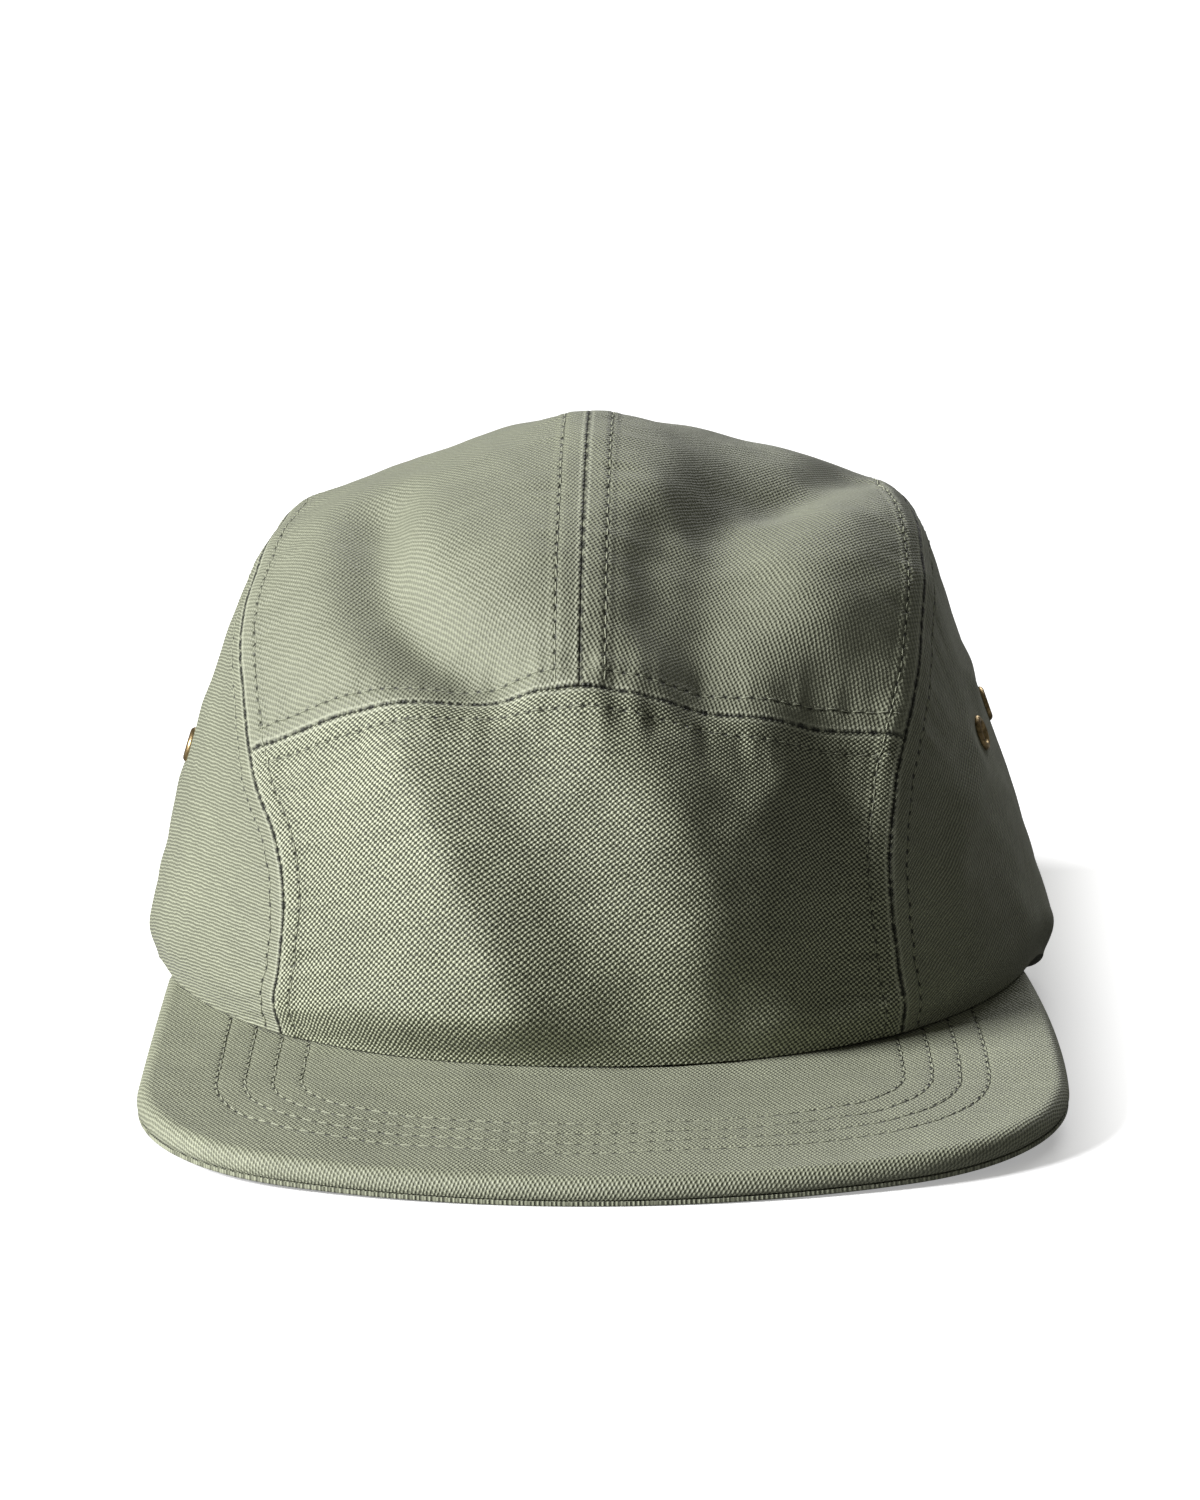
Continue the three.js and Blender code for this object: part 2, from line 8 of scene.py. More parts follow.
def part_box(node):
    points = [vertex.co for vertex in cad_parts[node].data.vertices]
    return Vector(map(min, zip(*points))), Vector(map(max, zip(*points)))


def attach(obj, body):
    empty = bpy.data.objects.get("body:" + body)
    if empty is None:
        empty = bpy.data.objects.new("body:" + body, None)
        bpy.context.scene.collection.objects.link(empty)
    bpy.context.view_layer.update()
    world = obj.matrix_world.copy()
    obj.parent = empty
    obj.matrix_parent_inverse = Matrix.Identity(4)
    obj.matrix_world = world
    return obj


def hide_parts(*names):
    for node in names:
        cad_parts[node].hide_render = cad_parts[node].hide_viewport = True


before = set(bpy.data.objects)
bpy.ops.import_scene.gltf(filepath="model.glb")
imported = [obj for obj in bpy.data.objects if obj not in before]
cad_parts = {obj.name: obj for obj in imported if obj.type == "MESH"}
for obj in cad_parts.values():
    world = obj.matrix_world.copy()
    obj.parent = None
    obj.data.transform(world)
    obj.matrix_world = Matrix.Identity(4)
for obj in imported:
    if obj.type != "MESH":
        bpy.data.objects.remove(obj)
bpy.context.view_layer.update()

# Camera. It looks at the front of the cap through a long lens, from 14 degrees above the table
# and a degree and a half to the right, and it is tipped by half a degree.
MM = 0.001
PEAK_LEFT = 94.2
PEAK_FRONT = 159.2
CAMERA_AZIMUTH = math.radians(1.6)
CAMERA_ELEVATION = math.radians(14.3)
CAMERA_ROLL = math.radians(0.6)
CAMERA_DISTANCE = 1.7
PICTURE_WIDTH, PICTURE_HEIGHT = 1200, 1500
PICTURE_SCALE = 4720
SENSOR = 36
BROW = Vector((-3, -94.5, 11.5)) * MM
BROW_PIXEL = (594, 1064)

# The middle of the crown's rim, from the peak's left and front edges
peak_low, peak_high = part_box("peak_upper")
rim_centre = Vector((peak_low.x + PEAK_LEFT * MM, peak_low.y + PEAK_FRONT * MM, 0))


def make_camera():
    back = Vector((
        math.sin(CAMERA_AZIMUTH) * math.cos(CAMERA_ELEVATION),
        -math.cos(CAMERA_AZIMUTH) * math.cos(CAMERA_ELEVATION),
        math.sin(CAMERA_ELEVATION),
    ))
    level = Vector((math.cos(CAMERA_AZIMUTH), math.sin(CAMERA_AZIMUTH), 0))
    upright = back.cross(level)
    right = level * math.cos(CAMERA_ROLL) - upright * math.sin(CAMERA_ROLL)
    up = level * math.sin(CAMERA_ROLL) + upright * math.cos(CAMERA_ROLL)
    place = back * CAMERA_DISTANCE
    focal = PICTURE_SCALE * CAMERA_DISTANCE
    to_brow = BROW - place
    depth = -to_brow.dot(back)
    axis_x = BROW_PIXEL[0] - focal * to_brow.dot(right) / depth
    axis_y = BROW_PIXEL[1] + focal * to_brow.dot(up) / depth
    # The picture's middle is not where the brow's line puts the lens axis, so the camera turns
    ahead = -back * focal + right * (PICTURE_WIDTH / 2 - axis_x) - up * (PICTURE_HEIGHT / 2 - axis_y)
    ahead.normalize()
    right = ahead.cross(up).normalized()
    up = right.cross(ahead)
    lens = bpy.data.cameras.new("camera")
    lens.sensor_width = SENSOR
    lens.lens = SENSOR * focal / PICTURE_HEIGHT
    lens.clip_end = 50
    camera = bpy.data.objects.new("camera", lens)
    bpy.context.collection.objects.link(camera)
    turn = Matrix((right, up, -ahead)).transposed().to_4x4()
    camera.matrix_world = Matrix.Translation(rim_centre + place) @ turn
    bpy.context.scene.camera = camera


make_camera()

# The crown's form. The crown is soft cotton cloth, sewn from five panels that hold its rounded
# shape by themselves. Every place on it is a direction from the middle of the rim: an angle out
# to the side and an angle over the crown, or an angle around it and an angle up. Millimetres.
CROWN_HEIGHT = 126.4
CROWN_HALF_WIDTH = 95
CROWN_FRONT_REACH = 96
CROWN_BACK_REACH = 97.5
CROWN_SQUARENESS = 2.15
ROUND_START = math.radians(44)
ROUND_END = math.radians(86)
CROWN_SHIFT = -3
CROWN_LEAN = -2.5
LEAN_SHARE = 0.74
CROWN_LEVELS = {
    "height": [0.0, 0.0985, 0.202, 0.3635, 0.525, 0.662, 0.7585, 0.838, 0.914, 0.973],
    "left": [1.0, 1.028, 1.0, 0.937, 0.863, 0.797, 0.715, 0.612, 0.412, 0.216],
    "right": [0.99, 1.006, 0.976, 0.919, 0.851, 0.797, 0.75, 0.672, 0.468, 0.226],
    "front": [1.0, 1.0, 0.995, 0.974, 0.917, 0.823, 0.708, 0.573, 0.396, 0.198],
    "back": [0.995, 1.0, 0.985, 0.938, 0.862, 0.779, 0.677, 0.554, 0.379, 0.195],
}
TUCK_DEPTH = 3.4
TUCK_HEIGHT = 11
TUCK_BEND = 1.5
SIDE_SEAMS = {
    "over": [0, 12, 20, 28, 36, 44, 52, 60, 70, 85, 100, 130, 180],
    "left": [41.5, 41, 38.3, 35.6, 35, 37, 37.8, 37.8, 37, 34.2, 31, 30, 33],
    "right": [40.5, 39.9, 39, 37.6, 36.2, 35.8, 36, 36.2, 35.2, 32.8, 30.6, 30, 33],
}
FRONT_SEAM = {"across": [-1, -0.5, 0, 0.5, 1], "over": [49.6, 46.8, 46.9, 47.5, 51.3]}
SEAM_RIDGE = 2.2
SEAM_RIDGE_WIDTH = 9
CENTRE_RIDGE = 0.3
CENTRE_RIDGE_START = math.radians(12)
RIDGE_START_SHARE = 0.16
RIDGE_FULL_SHARE = 0.49
PEAK_THICKNESS = 5.5
PEAK_ANGLE = math.radians(4)
PEAK_SLOPE = math.tan(PEAK_ANGLE)
PEAK_GAP = 0.4
PEAK_END = math.radians(72)
RIM_DOWN = math.radians(112)

# Folds: the path of each is given in degrees around the crown and up from the rim, and its
# width and rise in millimetres, negative where the cloth dips. A lean above 0 makes it steeper
# on the right of its path and gentler on the left, and a fold without one is even.
FOLDS = [
    # Left top panel
    dict(width=8.5, rise=-7.0,
         path=[(-68, 67), (-50, 62), (-40, 57.5), (-31, 53.5), (-22, 50.5), (-12, 47.5)]),
    dict(width=14, rise=2.2, path=[(-14, 66), (-8, 58), (-6, 52)]),
    # Right top panel
    dict(width=18, rise=-9.0, lean=-0.3,
         path=[(23, 47), (24, 52), (27, 57), (33, 63), (44, 68), (58, 71)]),
    dict(width=15, rise=-3.4, path=[(60, 72), (95, 75)]),
    dict(width=6, rise=-2.0, path=[(12, 54), (13, 58), (16, 65), (24, 70)]),
    dict(width=12, rise=1.5, path=[(36, 49), (43, 54), (52, 59), (66, 64)]),
    dict(width=7, rise=-3.4, path=[(62, 69), (80, 67.5), (105, 62)]),
    # Front panel
    dict(width=22, rise=6.4, lean=-0.25, path=[(-27, 40), (-23, 34), (-18.5, 28), (-13.5, 20), (-8, 9)]),
    dict(width=4.5, rise=0.8, path=[(-25, 39), (-20.5, 33.5), (-16.5, 28), (-12.5, 21), (-8, 12)]),
    dict(width=5, rise=0.8, path=[(-22, 41), (-8, 41)]),
    dict(width=12, rise=3.0, lean=-0.1,
         path=[(-2, 47), (3, 40), (8.5, 34.5), (12, 30), (13.5, 24), (13, 18), (11, 11)]),
    dict(width=10, rise=-3.0, path=[(1, 10), (8, 11), (18, 12)]),
    dict(width=17, rise=-5.4, lean=-0.25, path=[(34, 12), (34, 22), (36, 31), (38, 40), (40, 46)]),
    dict(width=4, rise=0.5, path=[(18, 31), (24, 35), (31, 39)]),
    # Side panels
    dict(width=5, rise=1.35, path=[(87, 44), (71, 36), (55, 26), (51, 21)]),
    dict(width=10, rise=-0.9, path=[(-100, 42), (-60, 42)]),
    # Gathers at the front seam
    dict(width=2.8, rise=-0.9, path=[(5, 48), (5.5, 43)]),
    dict(width=2.8, rise=-0.8, path=[(10, 47), (10.5, 43)]),
    dict(width=3.2, rise=0.8, path=[(-6, 49), (-7, 44)]),
    # Top and back
    dict(width=26, rise=-2.0, path=[(-80, 78), (180, 86)]),
    dict(width=13, rise=-2.1, path=[(-152, 52), (-138, 30)]),
    dict(width=13, rise=-1.8, path=[(160, 62), (150, 40)]),
    dict(width=12, rise=1.5, path=[(-176, 28), (172, 46)]),
    # Front panel, right of its middle ridge
    dict(width=9, rise=-1.8, path=[(17, 47), (21, 42), (24, 36)]),
]
FOLD_STEPS = 2.5

# Small unevenness of the cloth: how far apart its crests are, how high they stand, and how much
# its single waves differ in length
RIPPLES = [(46, 0.2), (21, 0.13), (10, 0.06)]
RIPPLE_WAVES = 14
RIPPLE_SPREAD = (0.75, 1.3)

# Sewing: on both sides of a seam line the cloth rolls under into a groove, and the layers
# below it raise a band as far as the row of topstitching, where the thread pulls it down.
SEAM_ROLL = 0.5
GROOVE_DEPTH = 0.3
BAND_HEIGHT = 0.4
BAND_FALL = 1.8
STITCH_DENT = 0.3
STITCH_DENT_WIDTH = 0.55
PUCKER_HEIGHT = 0.3
PUCKER_LENGTHS = [4.3, 6.7, 9.1]
PUCKER_REACH = 7
SIDE_ROW = 4.5
FRONT_ROW = 4.3
CENTRE_ROW = 5.0
EYELET_FLAT_RADIUS = 12
EYELET_RADIUS = 3.75
EYELETS = {
    "eyelet_left_front": (-87, 34),
    "eyelet_left_rear": (-105, 34),
    "eyelet_right_front": (76, 37),
    "eyelet_right_rear": (95, 37.5),
}


def ease(share):
    share = np.clip(share, 0, 1)
    return share * share * (3 - 2 * share)


def mix(start, end, share):
    return start + (end - start) * share


def unit(vectors):
    return vectors / np.maximum(np.linalg.norm(vectors, axis=-1, keepdims=True), 1e-12)


def smooth_curve(places, values):
    """A smooth curve through the rows of a table."""
    places, values = np.asarray(places, float), np.asarray(values, float)
    spans = np.diff(places)
    rates = np.diff(values) / spans
    slopes = np.concatenate([rates[:1], rates, rates[-1:]])[:len(values)]
    slopes[1:-1] = (rates[:-1] * spans[1:] + rates[1:] * spans[:-1]) / (spans[:-1] + spans[1:])
    slopes[-1] = rates[-1]

    def curve(place):
        row = np.clip(np.searchsorted(places, place) - 1, 0, len(spans) - 1)
        span = spans[row]
        t = (place - places[row]) / span
        start = (2 * t**3 - 3 * t**2 + 1) * values[row] + (t**3 - 2 * t**2 + t) * span * slopes[row]
        end = (3 * t**2 - 2 * t**3) * values[row + 1] + (t**3 - t**2) * span * slopes[row + 1]
        return start + end

    return curve


def outline_curve(side, reach):
    """One side's outline as a distance from the rim's middle, by the angle above the rim."""
    heights = np.array(CROWN_LEVELS["height"]) * CROWN_HEIGHT
    reaches = np.array(CROWN_LEVELS[side]) * reach
    angles = np.arctan2(heights, reaches)
    distances = np.hypot(heights, reaches)
    return smooth_curve(
        [*angles, math.pi / 2, math.pi - angles[-1]],
        [*distances, CROWN_HEIGHT, distances[-1]],
    )


left_outline = outline_curve("left", CROWN_HALF_WIDTH)
right_outline = outline_curve("right", CROWN_HALF_WIDTH)
front_outline = outline_curve("front", CROWN_FRONT_REACH)
back_outline = outline_curve("back", CROWN_BACK_REACH)
left_seam = smooth_curve(np.radians(SIDE_SEAMS["over"]), np.radians(SIDE_SEAMS["left"]))
right_seam = smooth_curve(np.radians(SIDE_SEAMS["over"]), np.radians(SIDE_SEAMS["right"]))
front_seam = smooth_curve(FRONT_SEAM["across"], np.radians(FRONT_SEAM["over"]))


def side_seam(sideways, over):
    return np.where(sideways < 0, left_seam(over), right_seam(over))


def heading(sideways, over):
    """The direction at an angle out to the side and an angle over the crown from the front."""
    sideways, over = np.broadcast_arrays(sideways, over)
    return np.stack([
        np.sin(sideways),
        -np.cos(sideways) * np.cos(over),
        np.cos(sideways) * np.sin(over),
    ], -1)


def bearing(around, up):
    """The direction at an angle around the crown from the front and an angle up."""
    around, up = np.broadcast_arrays(around, up)
    return np.stack([np.sin(around) * np.cos(up), -np.cos(around) * np.cos(up), np.sin(up)], -1)


def peak_top(y):
    return PEAK_THICKNESS + (y + PEAK_FRONT) * PEAK_SLOPE


def rim_height(around, y):
    down = (np.abs(around) - PEAK_END) / (RIM_DOWN - PEAK_END)
    return (peak_top(y) + PEAK_GAP) * (1 - ease(down))


def fold_rise(direction, distance):
    """How far the folds lift the cloth at each place, fading softly past the ends of each."""
    rise = np.zeros(distance.shape)
    for fold in FOLDS:
        path = bearing(*np.radians(np.array(fold["path"], float)).T)
        lengths = np.concatenate([[0], np.cumsum(np.linalg.norm(np.diff(path, axis=0), axis=-1))])
        count = 2 + int(lengths[-1] * CROWN_FRONT_REACH / fold["width"] * FOLD_STEPS)
        places = np.linspace(0, lengths[-1], count)
        spine = unit(np.stack([smooth_curve(lengths, path[:, axis])(places) for axis in range(3)], -1))
        ahead = np.gradient(spine, axis=0)
        aside = unit(np.cross(spine, ahead))
        reach = distance[..., None]
        gap = np.sqrt(np.maximum(2 - 2 * direction @ spine.T, 0)) * reach
        side = (direction @ aside.T) * reach / np.hypot(gap, fold["width"] / 2)
        width = fold["width"] * (1 + fold.get("lean", 0) * side)
        share = np.exp(-((gap / width) ** 2)) * reach / width / math.sqrt(math.pi)
        rise += fold["rise"] * share @ np.linalg.norm(ahead, axis=-1)
    return rise


eyelet_directions = {name: bearing(*np.radians(place)) for name, place in EYELETS.items()}


def fold_fade(direction, distance):
    """Crimping an eyelet on holds the cloth round it flat."""
    gaps = [np.linalg.norm(direction - place, axis=-1) for place in eyelet_directions.values()]
    nearest = np.min(gaps, axis=0) * distance
    return ease((nearest - EYELET_RADIUS) / (EYELET_FLAT_RADIUS - EYELET_RADIUS))


def ripple(places, wavelength, seed):
    """A gentle uneven swell, about one unit either way, with its crests a wavelength apart."""
    random = np.random.default_rng(seed)
    waves = unit(random.normal(size=(RIPPLE_WAVES, 3))) * random.uniform(*RIPPLE_SPREAD, (RIPPLE_WAVES, 1))
    starts = random.uniform(0, 2 * math.pi, RIPPLE_WAVES)
    angles = places @ waves.T * (2 * math.pi / wavelength) + starts
    return np.sin(angles).sum(-1) / math.sqrt(RIPPLE_WAVES / 2)


def puckers(run, seed):
    """Uneven little gathers along a row of stitches."""
    starts = np.random.default_rng(seed).uniform(0, 2 * math.pi, len(PUCKER_LENGTHS))
    waves = [np.sin(2 * math.pi * run / length + start) for length, start in zip(PUCKER_LENGTHS, starts)]
    return sum(waves) / len(waves)


def sewn_rise(gap, row, run, seed):
    """How a topstitched seam stands up from the cloth, by the distance from its line."""
    gap = np.abs(gap)
    roll = np.clip(1 - gap / SEAM_ROLL, 0, 1)
    groove = GROOVE_DEPTH * (1 - np.sqrt(1 - roll**2))
    band = BAND_HEIGHT * (1 - ease((gap - row) / BAND_FALL))
    dent = STITCH_DENT * np.exp(-(((gap - row) / STITCH_DENT_WIDTH) ** 2))
    beside = np.where(gap < row, (gap / row) ** 2, np.exp(-(((gap - row) / PUCKER_REACH) ** 2)))
    return band - groove - dent + PUCKER_HEIGHT * puckers(run, seed) * beside


def seam_gaps(direction, distance):
    """Signed distances from the side seams, the front seam and the centre seam's line."""
    sideways = np.arcsin(np.clip(direction[..., 0], -1, 1))
    over = np.arctan2(direction[..., 2], -direction[..., 1])
    edge = side_seam(sideways, over)
    across = np.clip(sideways / edge, -1, 1)
    from_side = (np.abs(sideways) - edge) * distance
    from_front = (over - front_seam(across)) * distance * np.cos(sideways)
    from_centre = sideways * distance
    return from_side, from_front, from_centre


def crown_distance(direction, sewn, folded=True):
    """How far the cloth's outside lies from the rim's middle, with seams and folds or without."""
    x, y, z = np.moveaxis(direction, -1, 0)
    flat = np.maximum(np.hypot(x, y), 1e-9)
    up = np.arctan2(z, flat)
    side = np.where(x < 0, left_outline(up), right_outline(up))
    end = np.where(y < 0, front_outline(up), back_outline(up))
    squareness = mix(CROWN_SQUARENESS, 2, ease((up - ROUND_START) / (ROUND_END - ROUND_START)))
    corner = np.abs(x / flat / side) ** squareness + np.abs(y / flat / end) ** squareness
    distance = corner ** (-1 / squareness)
    height = distance * z
    around = np.arctan2(x, -y)
    above_rim = height - rim_height(around, distance * y)

    over = np.arctan2(z, -y)
    from_side, from_front, from_centre = seam_gaps(direction, distance)
    ridge_share = (height / CROWN_HEIGHT - RIDGE_START_SHARE) / (RIDGE_FULL_SHARE - RIDGE_START_SHARE)
    centre_share = (over - front_seam(0.0)) / CENTRE_RIDGE_START
    ridge = SEAM_RIDGE * np.exp(-((from_side / SEAM_RIDGE_WIDTH) ** 2))
    ridge += CENTRE_RIDGE * np.exp(-((from_centre / SEAM_RIDGE_WIDTH) ** 2)) * ease(centre_share)
    distance = distance + ridge * ease(ridge_share)
    if not folded:
        return distance
    clear_of_rim = ease(above_rim / TUCK_HEIGHT)
    rise = fold_rise(direction, distance)
    for seed, (wavelength, swell) in enumerate(RIPPLES):
        rise += swell * ripple(direction * distance[..., None], wavelength, seed)
    distance = distance + rise * fold_fade(direction, distance) * clear_of_rim
    distance = distance - TUCK_DEPTH * (1 - clear_of_rim) ** TUCK_BEND
    if not sewn:
        return distance

    # The front seam ends at the side seams, and the centre seam starts at the front seam
    side_runs = np.where(x < 0, run_left(over), run_right(over))
    distance = distance + sewn_rise(from_side, SIDE_ROW, side_runs, seed=11)
    inside = ease(-from_side / SIDE_ROW)
    front = sewn_rise(from_front, FRONT_ROW, run_front(from_centre), seed=12)
    distance = distance + front * inside
    behind = np.where(from_front > 0, 1.0, 0.0) * inside
    centre = sewn_rise(from_centre, CENTRE_ROW, run_centre(over), seed=13)
    return distance + centre * behind


def lean(point):
    """The crown stands a little to one side, more so towards its top."""
    point = point.copy()
    point[..., 0] += CROWN_SHIFT + CROWN_LEAN * ease(point[..., 2] / (LEAN_SHARE * CROWN_HEIGHT))
    return point


def crown_point(direction, sewn=True):
    return lean(direction * crown_distance(direction, sewn)[..., None])


def running_length(places, directions):
    """The length along a seam by its angle over the crown, or its distance across."""
    steps = np.linalg.norm(np.diff(crown_point(directions, False), axis=0), axis=-1)
    lengths = np.concatenate([[0], np.cumsum(steps)])
    return lambda place: np.interp(place, places, lengths)


OVER_STEPS = np.linspace(0, math.pi, 700)
run_left = running_length(OVER_STEPS, heading(-left_seam(OVER_STEPS), OVER_STEPS))
run_right = running_length(OVER_STEPS, heading(right_seam(OVER_STEPS), OVER_STEPS))
run_centre = running_length(OVER_STEPS, heading(0.0, OVER_STEPS))


def front_line(across):
    over = front_seam(across)
    return heading(across * side_seam(across, over), over)


ACROSS_STEPS = np.linspace(-1, 1, 400)
front_directions = front_line(ACROSS_STEPS)
front_sideways = np.arcsin(front_directions[:, 0]) * crown_distance(front_directions, False)
run_front = running_length(front_sideways, front_directions)

# Cloth finish. The cloth is a heavy washed cotton in grey olive, woven in a diagonal weave: light threads
# with a small pit at each crossing, darkened with painted shade, uneven threads that show as faint level
# streaks, and a soft dry fuzz. The peak's covers are cut from the same cloth.
THREAD_COLOUR = (0.465, 0.487, 0.35, 1)
PIT_SHADE_COLOUR = (0.03, 0.034, 0.016, 1)
# The next two: the painted highlight on a seam's fold, and the painted shade in its groove and at its
# needle holes
SEAM_HIGHLIGHT_COLOUR = (0.48, 0.5, 0.38, 1)
GROOVE_SHADE_COLOUR = (0.016, 0.018, 0.01, 1)
RISING_PITCH = 0.73
FALLING_PITCH = 0.9
WEAVE_HEIGHT = 0.22
GRAIN_HEIGHT = 0.1
SLUB_HEIGHT = 0.05
NEEDLE_DEPTH = 0.25
SIDE_PITCH = 2.8
CENTRE_PITCH = 3.5
PEAK_PITCH = 3.6

# The cloth's unevenness: how often each kind comes in a millimetre, where two numbers stand
# across and up the cloth, and how much of it shows
THREAD_WANDER = 0.7
THREAD_SHAKE = 0.4
STREAKS = (0.018, 0.55)
SLUBS = (0.1, 1.7)
GRAINS = 2.2
BLOTCHES = 0.03
GRAIN_SHARE = 0.6
BLOTCH_SHARE = 0.3
# How strongly painted shade darkens the pit at each crossing of threads
PIT_SHADE_GAIN = 2.6
PIT_SHADE_START = 0.74

# Seams in the cloth: the painted highlight on the fold and the line of painted shade in the groove, in
# millimetres from the seam, with how unevenly the line is broken into links, and the painted shadow at the
# needle holes of the row beside it
SEAM_WANDER = 0.8
HIGHLIGHT_GAP = 0.9
HIGHLIGHT_REACH = 0.3
HIGHLIGHT_SHARE = 0.5
GROOVE_SHADE_REACH = 0.5
LINKS = 0.55
LINK_GAIN = 7
LINK_START = 2.9
NEEDLE_SHADOW_REACH = 0.3
NEEDLE_SHADOW_BEND = 1.5
NEEDLE_SHADOW_SHARES = (0.45, 0.9, 0.6)


class Socket:
    """A number or colour in a material: a sum or product of it adds the Math node for it."""

    def __init__(self, finish, output):
        self.finish = finish
        self.output = output

    def math(self, operation, first, second=0.0):
        return self.finish.node("ShaderNodeMath", {"operation": operation}, {0: first, 1: second})

    def __add__(self, other):
        return self.math("ADD", self, other)

    def __sub__(self, other):
        return self.math("SUBTRACT", self, other)

    def __mul__(self, other):
        return self.math("MULTIPLY", self, other)

    def __truediv__(self, other):
        return self.math("DIVIDE", self, other)

    def __pow__(self, other):
        return self.math("POWER", self, other)

    __radd__ = __add__

    def wave(self):
        """From 0 up to 1 and back, once for each whole number."""
        return self.math("COSINE", self * (2 * math.pi)) * 0.5 + 0.5

    def clamped(self):
        settings = {"operation": "ADD", "use_clamp": True}
        return self.finish.node("ShaderNodeMath", settings, {0: self, 1: 0.0})

    def near(self, reach):
        """1 where the number is 0, down to 0 well past the reach."""
        return self.math("EXPONENT", (self / reach) ** 2 * -1)

    def sibling(self, output):
        return Socket(self.finish, self.output.node.outputs[output])


class Finish:
    """A material with one Principled shader, whose plain values are set as it is made."""

    def __init__(self, name, values):
        self.material = bpy.data.materials.new(name)
        self.material.use_nodes = True
        self.tree = self.material.node_tree
        self.shader = self.tree.nodes["Principled BSDF"]
        self.feed(self.shader, values)

    def feed(self, node, values):
        for socket, value in values.items():
            if isinstance(value, Socket):
                self.tree.links.new(value.output, node.inputs[socket])
            else:
                node.inputs[socket].default_value = value

    def node(self, kind, settings, values, output=0):
        node = self.tree.nodes.new(kind)
        for setting, value in settings.items():
            setattr(node, setting, value)
        self.feed(node, values)
        return Socket(self, node.outputs[output])

    def attribute(self, name):
        """The three numbers that a mesh keeps under a name at each of its corners."""
        vector = self.node("ShaderNodeAttribute", {"attribute_name": name}, {}, "Vector")
        x = self.node("ShaderNodeSeparateXYZ", {}, {0: vector})
        return vector, x, x.sibling(1), x.sibling(2)

    def noise(self, place, scale, detail=2.0):
        values = {"Vector": place, "Scale": scale, "Detail": detail, "Roughness": 0.6}
        return self.node("ShaderNodeTexNoise", {}, values)

    def colours(self, share, start, end):
        return self.node("ShaderNodeMix", {"data_type": "RGBA"}, {0: share, 6: start, 7: end}, 2)

    def scaled(self, vector, factor):
        return self.node("ShaderNodeVectorMath", {"operation": "SCALE"}, {0: vector, "Scale": factor})

    def swing(self, place, scale, reach):
        """Noise that goes to both sides of 0."""
        return (self.noise(place, scale) - 0.5) * reach

    def vector(self, x, y):
        return self.node("ShaderNodeCombineXYZ", {}, {0: x, 1: y})

    def bump(self, height):
        """Height in millimetres, as a slope of the surface."""
        return self.node("ShaderNodeBump", {}, {"Strength": 1.0, "Distance": MM, "Height": height})


